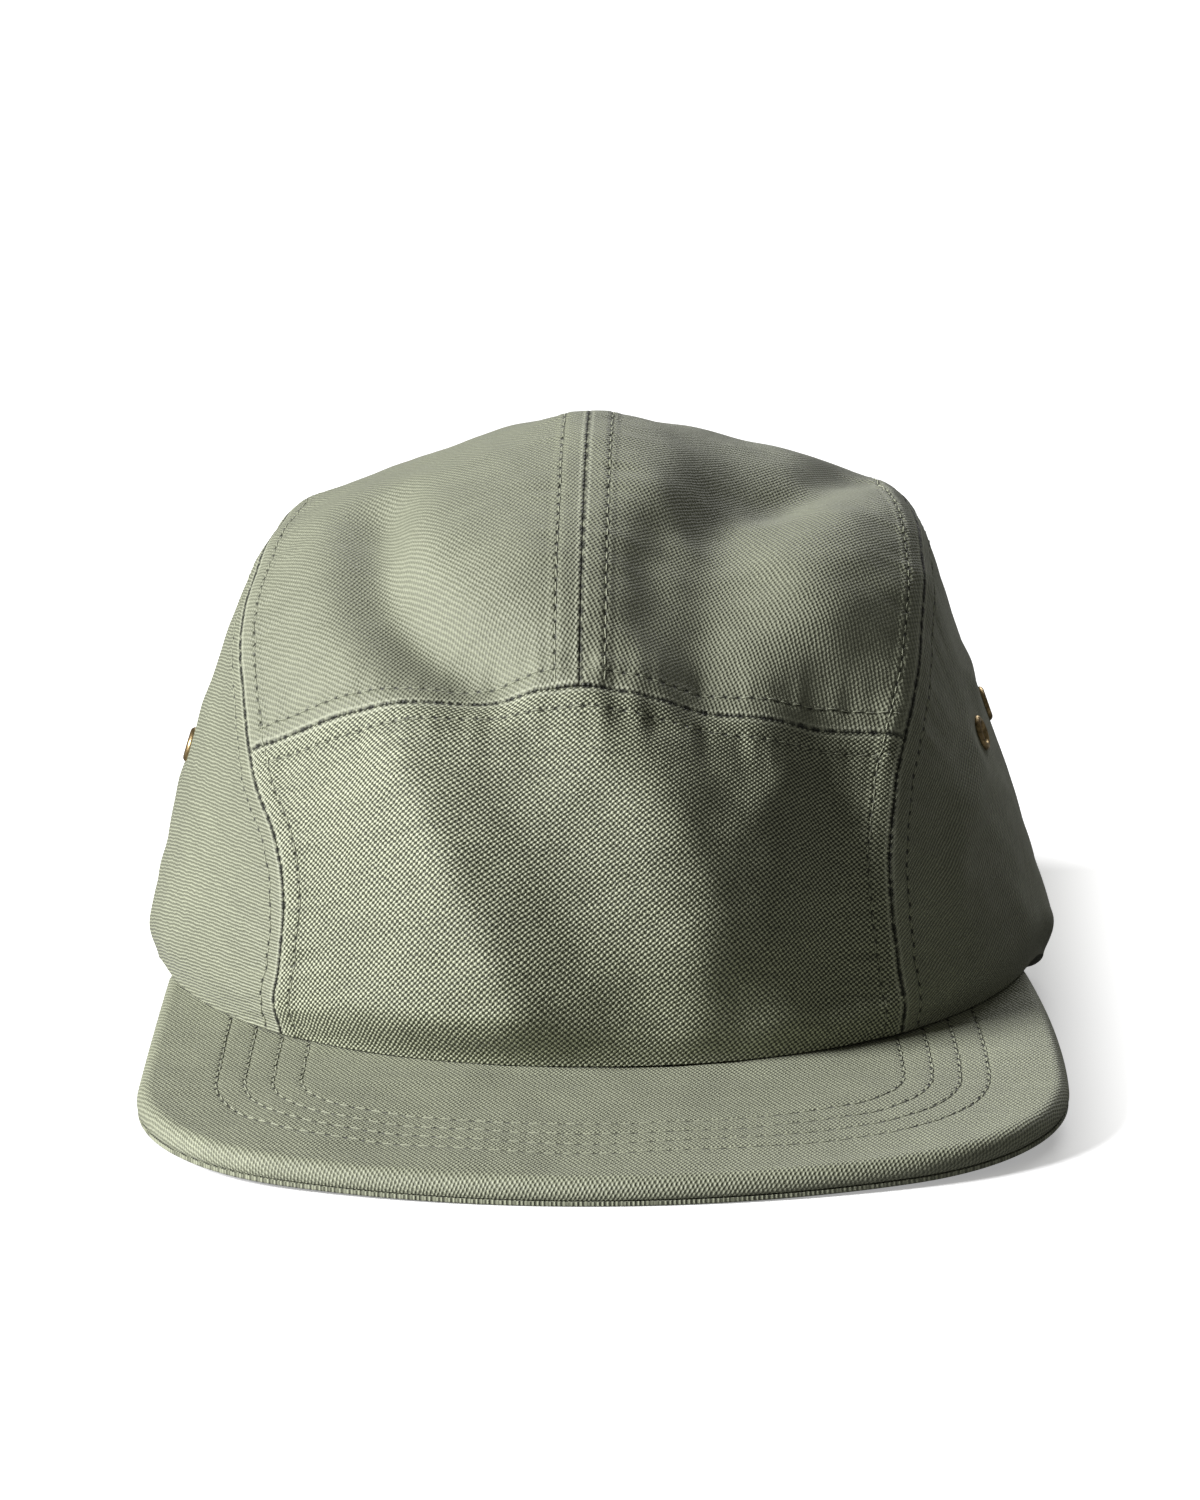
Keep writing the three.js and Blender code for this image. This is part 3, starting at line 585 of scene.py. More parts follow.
def cloth_finish(name, pitch, rising, falling, rising_share, pit_shading, streaked, seam_shading, tone):
    """The cloth as it lies on one panel: the angles of its two sets of threads, the share of the first, how
    dark the painted shade in the weave's pits is and how streaked it is, how dark the painted shade in its
    seams and at its needle holes is, and how light it is."""
    finish = Finish(name, {"Roughness": 0.6, "Specular IOR Level": 0.5,
                           "Sheen Weight": 0.1, "Sheen Roughness": 0.4})
    lay, right, up = finish.attribute("weave")[:3]
    seam, row, run = finish.attribute("sewing")[1:]

    # Threads wander a little, and each is a little thicker or thinner than the next
    right = right + finish.swing(lay, 0.16, THREAD_WANDER) + finish.swing(lay, 0.75, THREAD_SHAKE)
    up = up + finish.swing(lay, 0.21, THREAD_WANDER) + finish.swing(lay, 0.85, THREAD_SHAKE)
    rising, falling = math.radians(rising), math.radians(falling)
    first = (up * math.cos(rising) - right * math.sin(rising)) / RISING_PITCH
    second = (up * math.cos(falling) + right * math.sin(falling)) / FALLING_PITCH
    pit = first.wave() * rising_share + second.wave() * (1 - rising_share)

    streaks = finish.noise(finish.vector(right * STREAKS[0], up * STREAKS[1]), 1.0, 3.0) - 0.5
    slubs = finish.noise(finish.vector(right * SLUBS[0], up * SLUBS[1]), 1.0) - 0.5
    grain = finish.noise(lay, GRAINS) - 0.5
    blotch = finish.noise(lay, BLOTCHES) - 0.5
    fade = 1 + (streaks + slubs) * streaked + grain * GRAIN_SHARE + blotch * BLOTCH_SHARE

    # Painted shade: the pit at each crossing of threads is darkened in the colour
    pit_shade = (pit * (PIT_SHADE_GAIN + grain * PIT_SHADE_GAIN) - PIT_SHADE_START).clamped() * pit_shading
    thread = finish.scaled(finish.colours(pit_shade, THREAD_COLOUR, PIT_SHADE_COLOUR), fade * tone)
    # Along a seam the fold gets a painted highlight, and the line itself is a chain of small patches of
    # painted shade in the groove
    ragged = seam + finish.swing(lay, 1.1, SEAM_WANDER)
    highlighted = finish.colours((ragged - HIGHLIGHT_GAP).near(HIGHLIGHT_REACH) * HIGHLIGHT_SHARE, thread, SEAM_HIGHLIGHT_COLOUR)
    links = finish.noise(finish.vector(run * LINKS, 0.0), 1.0, 1.0)
    # Painted shade: the seam's line is darkened in broken links, as the shade in its groove
    groove_shade = (ragged.near(GROOVE_SHADE_REACH) * (links * LINK_GAIN - LINK_START + seam_shading)).clamped()
    plain, linked, seam_shade_share = NEEDLE_SHADOW_SHARES
    shadow_strength = plain + links * linked + seam_shading * seam_shade_share
    # Painted shadow at the needle holes along each row, strongest between stitches; the same mark also
    # sinks the bump
    needle_shadow = (row + grain * 0.2).near(NEEDLE_SHADOW_REACH) * (run / pitch).wave() ** NEEDLE_SHADOW_BEND * shadow_strength
    shaded = finish.colours(needle_shadow.clamped(), highlighted, GROOVE_SHADE_COLOUR)
    coloured = finish.colours(groove_shade, shaded, GROOVE_SHADE_COLOUR)
    height = pit * -WEAVE_HEIGHT + grain * GRAIN_HEIGHT + slubs * SLUB_HEIGHT - needle_shadow * NEEDLE_DEPTH
    finish.feed(finish.shader, {"Base Color": coloured, "Normal": finish.bump(height)})
    return finish.material


front_cloth = cloth_finish(
    "front_cloth", SIDE_PITCH, rising=37, falling=45, rising_share=0.52,
    pit_shading=1.2, streaked=0.42, seam_shading=0.1, tone=1.06)
top_cloth = cloth_finish(
    "top_cloth", SIDE_PITCH, rising=54, falling=54, rising_share=0.45,
    pit_shading=0.5, streaked=0.2, seam_shading=0.2, tone=0.62)
side_cloth = cloth_finish(
    "side_cloth", SIDE_PITCH, rising=18, falling=50, rising_share=0.8,
    pit_shading=0.6, streaked=0.25, seam_shading=0.6, tone=0.7)

# Crown panels. Each is one wall of cloth: a fine grid of directions over the crown gives its
# outside, and the same grid, a wall's thickness in and unsewn, its inside.
CLOTH_WALL = 1.4
HEM_WALL = 2.2
HEM_HEIGHT = 18
SEAM_CLEARANCE = 0.04
EYELET_HOLE = 2.9
SPACING_GAPS = [0, 1.2, 6.5, 11]
SPACINGS = [0.1, 0.42, 0.42, 1.15]
ONE_POINT = 1e-6
SHARP_EDGE = math.radians(60)
half_gap = SEAM_CLEARANCE / 2 / CROWN_HALF_WIDTH


def stations(length, seam_first, seam_last):
    """Shares of the way along a panel, close together by a seam and its row of stitches."""
    places = [0.0]
    while places[-1] < length:
        gaps = [SPACING_GAPS[-1]]
        gaps += [places[-1]] * seam_first + [length - places[-1]] * seam_last
        places.append(places[-1] + np.interp(min(gaps), SPACING_GAPS, SPACINGS))
    return np.array(places) / places[-1]


def grid_normals(points):
    normals = np.cross(np.gradient(points, axis=0), np.gradient(points, axis=1))
    normals[:, 0], normals[:, -1] = normals[:, 1], normals[:, -2]
    normals = unit(normals)
    outward = np.sign((normals * points).sum(-1).mean())
    return normals * outward


def inside_face(outside):
    """The crown's inner face: a wall in from the outside, and level near the rim."""
    around = np.arctan2(outside[..., 0] - CROWN_SHIFT, -outside[..., 1])
    above_rim = np.maximum(outside[..., 2] - rim_height(around, outside[..., 1]), 0)
    hem = 1 - ease(above_rim / HEM_HEIGHT)
    inward = -grid_normals(outside)
    inward[..., 2] *= 1 - hem
    return outside + unit(inward) * mix(CLOTH_WALL, HEM_WALL, hem)[..., None]


def cloth_lay(direction, distance, middle, upward):
    """Where each place lies on the flat cloth, right and up from the panel's middle."""
    right = unit(np.cross(upward, middle))
    up = np.cross(middle, right)
    angle = np.arccos(np.clip(direction @ middle, -1, 1))
    away = unit(direction - (direction @ middle)[..., None] * middle) * (angle * distance)[..., None]
    return np.stack([away @ right, away @ up, np.zeros(distance.shape)], -1)


def sewing_marks(direction, distance, top):
    """For each place: the gap to the nearest seam, the gap to its row, and the run along it."""
    from_side, from_front, from_centre = seam_gaps(direction, distance)
    over = np.arctan2(direction[..., 2], -direction[..., 1])
    side_runs = np.where(direction[..., 0] < 0, run_left(over), run_right(over))
    marks = np.stack([np.abs(from_side), np.abs(from_side) - SIDE_ROW, side_runs], -1)
    within = from_side < 0
    front = np.stack([np.abs(from_front), np.abs(from_front) - FRONT_ROW, run_front(from_centre)], -1)
    marks = np.where((within & (front[..., 0] < marks[..., 0]))[..., None], front, marks)
    if top:
        run = run_centre(over) * (SIDE_PITCH / CENTRE_PITCH)
        centre = np.stack([np.abs(from_centre), np.abs(from_centre) - CENTRE_ROW, run], -1)
        marks = np.where((centre[..., 0] < marks[..., 0])[..., None], centre, marks)
    return marks


def sheet(name, outer, inner, kept, marks, material):
    """A closed wall between two grids of points, open where its squares aren't kept."""
    rows, columns = outer.shape[:2]
    inside = rows * columns
    places = np.arange(inside).reshape(rows, columns)
    points = np.concatenate([outer.reshape(-1, 3), inner.reshape(-1, 3)])
    # Corners that fall on one point, as at the end of a lens, are one corner
    for column in (0, columns - 1):
        if np.ptp(outer[:, column], axis=0).max() < ONE_POINT:
            places[:, column] = places[0, column]
    corners = np.stack([places[:-1, :-1], places[:-1, 1:], places[1:, 1:], places[1:, :-1]], -1)
    corners = corners[kept].reshape(-1, 4)
    first, second, third, fourth = points[corners].swapaxes(0, 1)
    facing = np.cross(third - first, fourth - second)
    thickness = first - points[corners[:, 0] + inside]
    if (facing * thickness).sum() < 0:
        corners = corners[:, ::-1]
    faces = []
    edges = set()
    for corner in corners.tolist():
        ring = [place for i, place in enumerate(corner) if place != corner[i - 1]]
        if len(ring) < 3:
            continue
        faces.append(ring)
        faces.append([place + inside for place in reversed(ring)])
        edges.update(zip(ring, ring[1:] + ring[:1]))
    faces += [[b, a, a + inside, b + inside] for a, b in edges if (b, a) not in edges]
    used = sorted({place for face in faces for place in face})
    renumber = {place: i for i, place in enumerate(used)}
    mesh = bpy.data.meshes.new(name)
    location = points[used] * MM + np.array(rim_centre)
    mesh.from_pydata(location.tolist(), [], [[renumber[place] for place in face] for face in faces])
    for mark, values in marks.items():
        both = np.concatenate([values.reshape(-1, 3)] * 2)[used]
        layer = mesh.attributes.new(mark, "FLOAT_VECTOR", "POINT")
        layer.data.foreach_set("vector", both.astype(np.float32).ravel())
    mesh.shade_smooth()
    mesh.set_sharp_from_angle(angle=SHARP_EDGE)
    return place_piece(name, mesh, material)


def place_piece(name, mesh, material):
    piece = bpy.data.objects.new(name, mesh)
    bpy.context.collection.objects.link(piece)
    mesh.materials.append(material)
    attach(piece, "root")
    return piece


def crown_panel(node, direction, middle, upward, material, top=False):
    plain = crown_point(direction, False)
    distance = crown_distance(direction, False)
    kept = np.ones((direction.shape[0] - 1, direction.shape[1] - 1), bool)
    middles = (plain[:-1, :-1] + plain[1:, 1:]) / 2
    for place in eyelet_directions.values():
        kept &= np.linalg.norm(middles - crown_point(place[None], False)[0], axis=-1) > EYELET_HOLE
    marks = {
        "weave": cloth_lay(direction, crown_distance(direction, False, False), middle, upward),
        "sewing": sewing_marks(direction, distance, top),
    }
    outer = crown_point(direction)
    panel = sheet(node + "_cloth", outer, inside_face(plain), kept, marks, material)
    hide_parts(node)


# Front panel: one wide piece over the forehead, from the rim up to the front seam
FRONT_WIDTH = 130
FRONT_HEIGHT = 80
FRONT_MIDDLE = math.radians(25)
RIM_ROUNDS = 20
UP = np.array([0.0, 0.0, 1.0])


def rim_over(sideways_share):
    """The rim's angle over the crown, at shares across from seam to seam."""
    over = np.zeros(np.shape(sideways_share))
    for _ in range(RIM_ROUNDS):
        sideways = sideways_share * side_seam(sideways_share, over)
        direction = heading(sideways, over)
        point = direction * crown_distance(direction, False)[..., None]
        around = np.arctan2(point[..., 0], -point[..., 1])
        height = rim_height(around, point[..., 1])
        over = np.arcsin(height / (np.linalg.norm(point, axis=-1) * np.cos(sideways)))
    return over


across = mix(-1, 1, stations(FRONT_WIDTH, True, True))[None, :]
rise = stations(FRONT_HEIGHT, False, True)[:, None]
over = mix(rim_over(across), front_seam(across) - half_gap, rise)
sideways = across * (side_seam(across, over) - half_gap)
crown_panel("front_panel", heading(sideways, over), heading(0.0, FRONT_MIDDLE), UP, front_cloth)

# Top panels: two long pieces from the front seam over the top to the back rim
TOP_WIDTH = 62
TOP_LENGTH = 240
TOP_MIDDLE_ASIDE = math.radians(17)
TOP_MIDDLE_OVER = math.radians(72)
BACKWARD = np.array([0.0, 1.0, 0.0])

for side, node in ((-1, "top_panel_left"), (1, "top_panel_right")):
    across = stations(TOP_WIDTH, True, True)[None, :]
    share = stations(TOP_LENGTH, True, False)[:, None]
    over = mix(front_seam(side * across) + half_gap, math.pi, share)
    sideways = side * mix(half_gap, side_seam(side, over) - half_gap, across)
    middle = heading(side * TOP_MIDDLE_ASIDE, TOP_MIDDLE_OVER)
    crown_panel(node, heading(sideways, over), middle, BACKWARD, top_cloth, top=True)

# Side panels: from the rim up to the long side seam, each like half a lens
SIDE_LENGTH = 270
SIDE_HEIGHT = 95
SIDE_MIDDLE_AROUND = math.radians(95)
SIDE_MIDDLE_UP = math.radians(28)


def rim_up(around):
    up = np.zeros(around.shape)
    for _ in range(RIM_ROUNDS):
        direction = bearing(around, up)
        point = direction * crown_distance(direction, False)[..., None]
        up = np.arcsin(rim_height(around, point[..., 1]) / np.linalg.norm(point, axis=-1))
    return up


def seam_direction(side, over):
    return heading(side * (side_seam(side, over) + half_gap), over)


for side, node in ((-1, "side_panel_left"), (1, "side_panel_right")):
    share = stations(SIDE_LENGTH, False, False)
    seam = seam_direction(side, mix(rim_over(np.array([float(side)]))[0], math.pi, share))
    ends = np.arctan2(seam[[0, -1], 0], -seam[[0, -1], 1])
    around = mix(ends[0], ends[1], share)
    rim = bearing(around, rim_up(around))
    rim[0], rim[-1] = seam[0], seam[-1]
    height = stations(SIDE_HEIGHT, False, True)[:, None, None]
    direction = unit(mix(rim[None], seam[None], height))
    middle = bearing(side * SIDE_MIDDLE_AROUND, SIDE_MIDDLE_UP)
    crown_panel(node, direction, middle, UP, side_cloth)

# Topstitching on the crown. A row of cotton thread runs on each side of every seam, through
# all layers: each stitch lies on the cloth and dips into a needle hole at both of its ends.
THREAD_RADIUS = 0.13
STITCH_SHARE = 0.78
STITCH_RINGS = 7
STITCH_SIDES = 6
STITCH_WANDER = 0.1
STITCH_SPREAD = (0.92, 1.06)
STITCH_RISE = 0.7
STITCH_DIP = 2.2
STITCH_TAPER = 0.4
STITCH_COLOUR = (0.31, 0.325, 0.235, 1)
ROW_PROBE = 0.3
ROW_START = 0.01
ROW_END = 0.02
thread_finish = Finish("thread", {"Roughness": 0.75, "Sheen Weight": 0.2, "Base Color": STITCH_COLOUR})


def stitches(name, rows, pitch, seed):
    """One mesh of all stitches on rows of (points, normals, run along the seam)."""
    random = np.random.default_rng(seed)
    along = np.linspace(-1, 1, STITCH_RINGS)
    turns = np.arange(STITCH_SIDES) * 2 * math.pi / STITCH_SIDES
    points = []
    for line, normals, run in rows:
        count = int((run[-1] - run[0]) / pitch) - 1
        first = math.ceil(run[0] / pitch) + 0.5
        for k in range(count):
            middle = (first + k) * pitch
            half = pitch / 2 * STITCH_SHARE * random.uniform(*STITCH_SPREAD)
            wander = random.normal(size=2) * STITCH_WANDER
            at = middle + along * half
            spine = np.stack([np.interp(at, run, line[:, i]) for i in range(3)], -1)
            out = unit(np.stack([np.interp(at, run, normals[:, i]) for i in range(3)], -1))
            ahead = unit(np.gradient(spine, axis=0))
            aside = np.cross(ahead, out)
            spine = spine + aside * mix(wander[0], wander[1], (along[:, None] + 1) / 2)
            spine = spine + out * (THREAD_RADIUS * (STITCH_RISE - STITCH_DIP * along[:, None] ** 6))
            thick = THREAD_RADIUS * (1 - STITCH_TAPER * along**8)[:, None, None]
            ring = aside[:, None] * np.cos(turns)[:, None] + out[:, None] * np.sin(turns)[:, None]
            points.append(spine[:, None] + ring * thick)
    grid = np.arange(STITCH_RINGS * STITCH_SIDES).reshape(STITCH_RINGS, STITCH_SIDES)
    beside = np.roll(grid, -1, axis=1)
    walls = np.stack([grid[:-1], beside[:-1], beside[1:], grid[1:]], -1).reshape(-1, 4)
    faces = walls.tolist() + [grid[0, ::-1].tolist(), grid[-1].tolist()]
    each = STITCH_RINGS * STITCH_SIDES
    every = [[corner + i * each for corner in face] for i in range(len(points)) for face in faces]
    mesh = bpy.data.meshes.new(name)
    location = np.array(points).reshape(-1, 3) * MM + np.array(rim_centre)
    mesh.from_pydata(location.tolist(), [], every)
    mesh.shade_smooth()
    place_piece(name, mesh, thread_finish.material)


def row_line(direction_at, places, run, offset):
    """A row beside a seam: its points on the sewn cloth, the cloth's normals and the run."""
    line = crown_point(direction_at(places, offset))
    outer = crown_point(direction_at(places, offset + ROW_PROBE))
    inner = crown_point(direction_at(places, offset - ROW_PROBE))
    normals = unit(np.cross(np.gradient(line, axis=0), outer - inner))
    outward = np.sign((normals * line).sum())
    return line, normals * outward, run


def side_place(side):
    def place(over, offset):
        edge = side_seam(side, over)
        reach = crown_distance(heading(side * edge, over), False)
        return heading(side * (edge + offset / reach), over)
    return place


def front_place(across, offset):
    direction = front_line(across)
    reach = crown_distance(direction, False)
    sideways = np.arcsin(direction[..., 0])
    return heading(sideways, front_seam(across) + offset / (reach * np.cos(sideways)))


def centre_place(over, offset):
    reach = crown_distance(heading(0.0, over), False)
    return heading(offset / reach, over)


for side, name, run_at in ((-1, "left", run_left), (1, "right", run_right)):
    over = np.linspace(rim_over(np.array([float(side)]))[0] + ROW_START, math.pi - ROW_END, 1500)
    rows = [row_line(side_place(side), over, run_at(over), offset) for offset in (-SIDE_ROW, SIDE_ROW)]
    stitches("side_seam_stitches_" + name, rows, SIDE_PITCH, seed=21 + side)

across = np.linspace(-0.99, 0.99, 900)
run = run_front(np.interp(across, ACROSS_STEPS, front_sideways))
rows = [row_line(front_place, across, run, offset) for offset in (-FRONT_ROW, FRONT_ROW)]
stitches("front_seam_stitches", rows, SIDE_PITCH, seed=25)

over = np.linspace(front_seam(0.0) + ROW_START, math.pi - ROW_END, 1200)
rows = [row_line(centre_place, over, run_centre(over), offset) for offset in (-CENTRE_ROW, CENTRE_ROW)]
stitches("centre_seam_stitches", rows, CENTRE_PITCH, seed=27)

# Eyelets. Four little brass ventilation eyelets, two in each side panel: a rolled washer is
# crimped over the end of a tube, through the cloth. Old brass, browned in the hollows.
EYELET_PROFILE = [
    (3.72, -0.1), (3.78, 0.12), (3.68, 0.42), (3.4, 0.72), (3.0, 0.9), (2.6, 0.86), (2.28, 0.6),
    (2.1, 0.2), (2.0, -0.3), (2.0, -1.7), (2.15, -2.0), (2.6, -2.3), (3.3, -2.35), (3.7, -2.1),
    (3.6, -1.85), (2.6, -1.8), (2.4, -1.6), (2.4, -0.3), (2.6, -0.12),
]
EYELET_SIDES = 48
EYELET_PROBE = 0.03
BRASS_COLOUR = (0.52, 0.38, 0.19, 1)
BROWNED_COLOUR = (0.13, 0.09, 0.045, 1)
BROWN_GAIN = 2.6
BROWN_START = 0.95


def brass_finish():
    finish = Finish("brass", {"Metallic": 1.0})
    place = finish.node("ShaderNodeNewGeometry", {}, {}, "Position")
    stain = finish.noise(place, 900.0, 3.0)
    scratches = finish.noise(place, 4200.0, 2.0)
    settings = {"operation": "MULTIPLY_ADD", "use_clamp": True}
    browned = finish.node("ShaderNodeMath", settings, {0: stain, 1: BROWN_GAIN, 2: -BROWN_START})
    finish.feed(finish.shader, {
        "Base Color": finish.colours(browned, BRASS_COLOUR, BROWNED_COLOUR),
        "Roughness": 0.28 + browned * 0.22 + scratches * 0.1,
        "Normal": finish.bump(scratches * 0.03),
    })
    return finish.material


brass = brass_finish()


def eyelet(node):
    direction = eyelet_directions[node]
    centre = crown_point(direction[None], False)[0]
    steps = [unit(np.cross(UP, direction)), UP]
    nearby = [crown_point(unit(direction[None] + step * EYELET_PROBE), False)[0] - centre for step in steps]
    axis = unit(np.cross(nearby[0], nearby[1]))
    axis *= np.sign(axis @ direction)
    aside = unit(np.cross(UP, axis))
    upward = np.cross(axis, aside)
    turns = np.arange(EYELET_SIDES) * 2 * math.pi / EYELET_SIDES
    radius, height = np.array(EYELET_PROFILE).T
    ring = aside * np.cos(turns)[:, None] + upward * np.sin(turns)[:, None]
    points = centre + ring[None] * radius[:, None, None] + axis * height[:, None, None]
    grid = np.arange(points.shape[0] * EYELET_SIDES).reshape(-1, EYELET_SIDES)
    beside, below = np.roll(grid, -1, axis=1), np.roll(grid, -1, axis=0)
    faces = np.stack([grid, below, np.roll(below, -1, axis=1), beside], -1).reshape(-1, 4)
    mesh = bpy.data.meshes.new(node)
    location = points.reshape(-1, 3) * MM + np.array(rim_centre)
    mesh.from_pydata(location.tolist(), [], faces.tolist())
    mesh.shade_smooth()
    piece = place_piece(node + "_ring", mesh, brass)
    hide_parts(node)


for node in EYELETS:
    eyelet(node)

# Peak, upper cover. A stiff board is wrapped in the same cloth, and both are quilted together
# by four rows of stitches that follow the outer edge and run back under the crown.
PEAK_HALF_WIDTH = 93
PEAK_SHIFT = -1.2
PEAK_FRONT_RADIUS = 156
PEAK_CORNER_RADIUS = 52
PEAK_UNDER_COVER = 1
PEAK_EDGE_ROUND = 3
PEAK_SEAT = 5
COVER_GAP = 0.3
FRONT_SHARE = 0.42
CORNER_SHARE = 0.72
SIDE_BEND = 1.8
PEAK_ROWS = [15.9, 21.55, 27.2, 32.9]
PEAK_COLUMNS = 330
PEAK_SPACING = 0.72
CHANNEL_DEPTH = 0.13
CHANNEL_WIDTH = 0.6
PEAK_SWELLS = [(38, 0.16), (13, 0.05)]
PEAK_SWELL_FADE = 8
PEAK_SEED = 40
PEAK_REACH = 70
FOOT_ROUND = 0.35
EDGE_STEPS = 1600
PLACES_AT_ONCE = 4000
NO_SEAM = 20

corner_x = PEAK_HALF_WIDTH - PEAK_CORNER_RADIUS
corner_turn = math.asin(corner_x / (PEAK_FRONT_RADIUS - PEAK_CORNER_RADIUS))
front_y = PEAK_FRONT_RADIUS - PEAK_FRONT
corner_y = front_y - (PEAK_FRONT_RADIUS - PEAK_CORNER_RADIUS) * math.cos(corner_turn)


def rim_place(around, inset):
    point = crown_point(bearing(around, rim_up(around)), False)[..., :2]
    return point + np.stack([-np.sin(around), np.cos(around)], -1) * inset


def peak_edge(share, inset):
    """The outer edge in plan: a front arc, two corner arcs and two sides that run to the rim."""
    size, side = np.abs(share), np.sign(share)
    front_turn = corner_turn * size / FRONT_SHARE
    radius = PEAK_FRONT_RADIUS - inset
    front = radius * np.sin(front_turn), front_y - radius * np.cos(front_turn)
    corner_share = (size - FRONT_SHARE) / (CORNER_SHARE - FRONT_SHARE)
    turn = mix(corner_turn, math.pi / 2, corner_share)
    radius = PEAK_CORNER_RADIUS - inset
    corner = corner_x + radius * np.sin(turn), corner_y - radius * np.cos(turn)
    back = np.clip((size - CORNER_SHARE) / (1 - CORNER_SHARE), 0, 1)
    left_end, right_end = rim_place(np.array([-PEAK_END, PEAK_END]), inset)
    end = np.where(side[..., None] < 0, left_end, right_end)
    widest = PEAK_SHIFT + side * (PEAK_HALF_WIDTH - inset)
    stretches = [size <= FRONT_SHARE, size <= CORNER_SHARE]
    bent_x = mix(widest, end[..., 0], back**SIDE_BEND)
    x = np.select(stretches, [PEAK_SHIFT + side * front[0], PEAK_SHIFT + side * corner[0]], bent_x)
    y = np.select(stretches, [front[1], corner[1]], mix(corner_y, end[..., 1], back))
    return np.stack([x, y], -1)


# The outer edge as a fine line, with the length along it and how far it has turned
edge_shares = np.linspace(-1, 1, EDGE_STEPS + 1)
edge_line = peak_edge(edge_shares, 0)
edge_ahead = unit(np.gradient(edge_line, axis=0))
edge_inward = np.stack([-edge_ahead[:, 1], edge_ahead[:, 0]], -1)
edge_steps = np.linalg.norm(np.diff(edge_line, axis=0), axis=-1)
edge_run = np.concatenate([[0], np.cumsum(edge_steps)])
edge_run -= edge_run[EDGE_STEPS // 2]
edge_turned = np.unwrap(np.arctan2(edge_ahead[:, 1], edge_ahead[:, 0]))
edge_turned -= edge_turned[EDGE_STEPS // 2]


def edge_gap(plan):
    """For places in plan: the distance in from the outer edge, and the run along it there."""
    gap, run = np.empty(len(plan)), np.empty(len(plan))
    for start in range(0, len(plan), PLACES_AT_ONCE):
        some = slice(start, start + PLACES_AT_ONCE)
        away = np.linalg.norm(plan[some, None] - edge_line[None, ::2], axis=-1)
        nearest = away.argmin(1) * 2
        gap[some] = away.min(1)
        run[some] = edge_run[nearest] - gap[some] * edge_turned[nearest]
    return gap, run


def cover_top(plan, gap):
    """The height of the upper cover's face, quilted down along its rows of stitches."""
    height = peak_top(plan[..., 1])
    for row in PEAK_ROWS:
        height = height - CHANNEL_DEPTH * np.exp(-(((gap - row) / CHANNEL_WIDTH) ** 2))
    solid = np.concatenate([plan, np.zeros_like(plan[..., :1])], -1)
    for seed, (wavelength, swell) in enumerate(PEAK_SWELLS):
        height = height + swell * ripple(solid, wavelength, PEAK_SEED + seed) * ease(gap / PEAK_SWELL_FADE)
    return height


def peak_cover():
    share = np.linspace(-1, 1, PEAK_COLUMNS)
    upright = PEAK_THICKNESS - PEAK_UNDER_COVER - COVER_GAP
    # The edge's section from its foot up: insets and depths below the top, then the round
    turns = np.linspace(0, math.pi / 2, 9)
    insets = np.concatenate([[FOOT_ROUND, 0.08, 0.0], PEAK_EDGE_ROUND * (1 - np.cos(turns))])
    foot = [upright, upright - FOOT_ROUND, upright - 0.8]
    depths = np.concatenate([foot, PEAK_EDGE_ROUND * (1 - np.sin(turns))])
    rounding = np.stack([peak_edge(share, inset) for inset in insets])
    start = rounding[-1]
    seat = rim_place(share * PEAK_END, PEAK_SEAT)
    inward = np.linspace(0, 1, int(PEAK_REACH / PEAK_SPACING) + 1)[1:, None, None]
    plan = np.concatenate([rounding, mix(start[None], seat[None], inward)])
    gap, run = [values.reshape(plan.shape[:2]) for values in edge_gap(plan.reshape(-1, 2))]
    depth = np.concatenate([depths, np.zeros(len(inward))])[:, None]
    outer = np.concatenate([plan, (cover_top(plan, gap) - depth)[..., None]], -1)
    inner = np.concatenate([plan, (peak_top(plan[..., 1]) - upright)[..., None]], -1)
    inner[0, :, :2] = peak_edge(share, FOOT_ROUND)
    lip, inmost = peak_edge(share, FOOT_ROUND + 0.01), peak_edge(share, PEAK_EDGE_ROUND)
    inner[1:len(insets), :, :2] = mix(lip, inmost, np.linspace(0, 1, len(insets) - 1)[:, None, None])

    # The cloth's lay is unrolled outwards over the edge
    steps = np.linalg.norm(np.diff(np.stack([insets, depths], -1), axis=0), axis=-1)
    lengths = np.concatenate([np.cumsum(steps[::-1])[::-1], [0]])
    outward = -np.stack([np.interp(share, edge_shares, edge_inward[:, i]) for i in range(2)], -1)
    flat = plan.copy()
    flat[:len(insets)] = start[None] + outward[None] * lengths[:, None, None]
    nearest = np.min([np.abs(gap - row) for row in PEAK_ROWS], axis=0)
    marks = {
        "weave": np.concatenate([flat, np.zeros_like(flat[..., :1])], -1),
        "sewing": np.stack([np.full(gap.shape, NO_SEAM), nearest, run], -1),
    }
    kept = np.ones((plan.shape[0] - 1, plan.shape[1] - 1), bool)
    piece = sheet("peak_upper_cover", outer, inner, kept, marks, peak_cloth)
    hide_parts("peak_upper")


peak_cloth = cloth_finish(
    "peak_cloth", PEAK_PITCH, rising=60, falling=62, rising_share=0.5,
    pit_shading=0.66, streaked=0.3, seam_shading=1.4, tone=0.8)
peak_cover()

# Peak, under cover. A second layer of the cloth closes the board from below, and shows as a
# thin edge under the upper cover.
UNDER_COLUMNS = 220
UNDER_ROWS = 24
UNDER_INSET = 0.15
UNDER_ROUND = 0.4


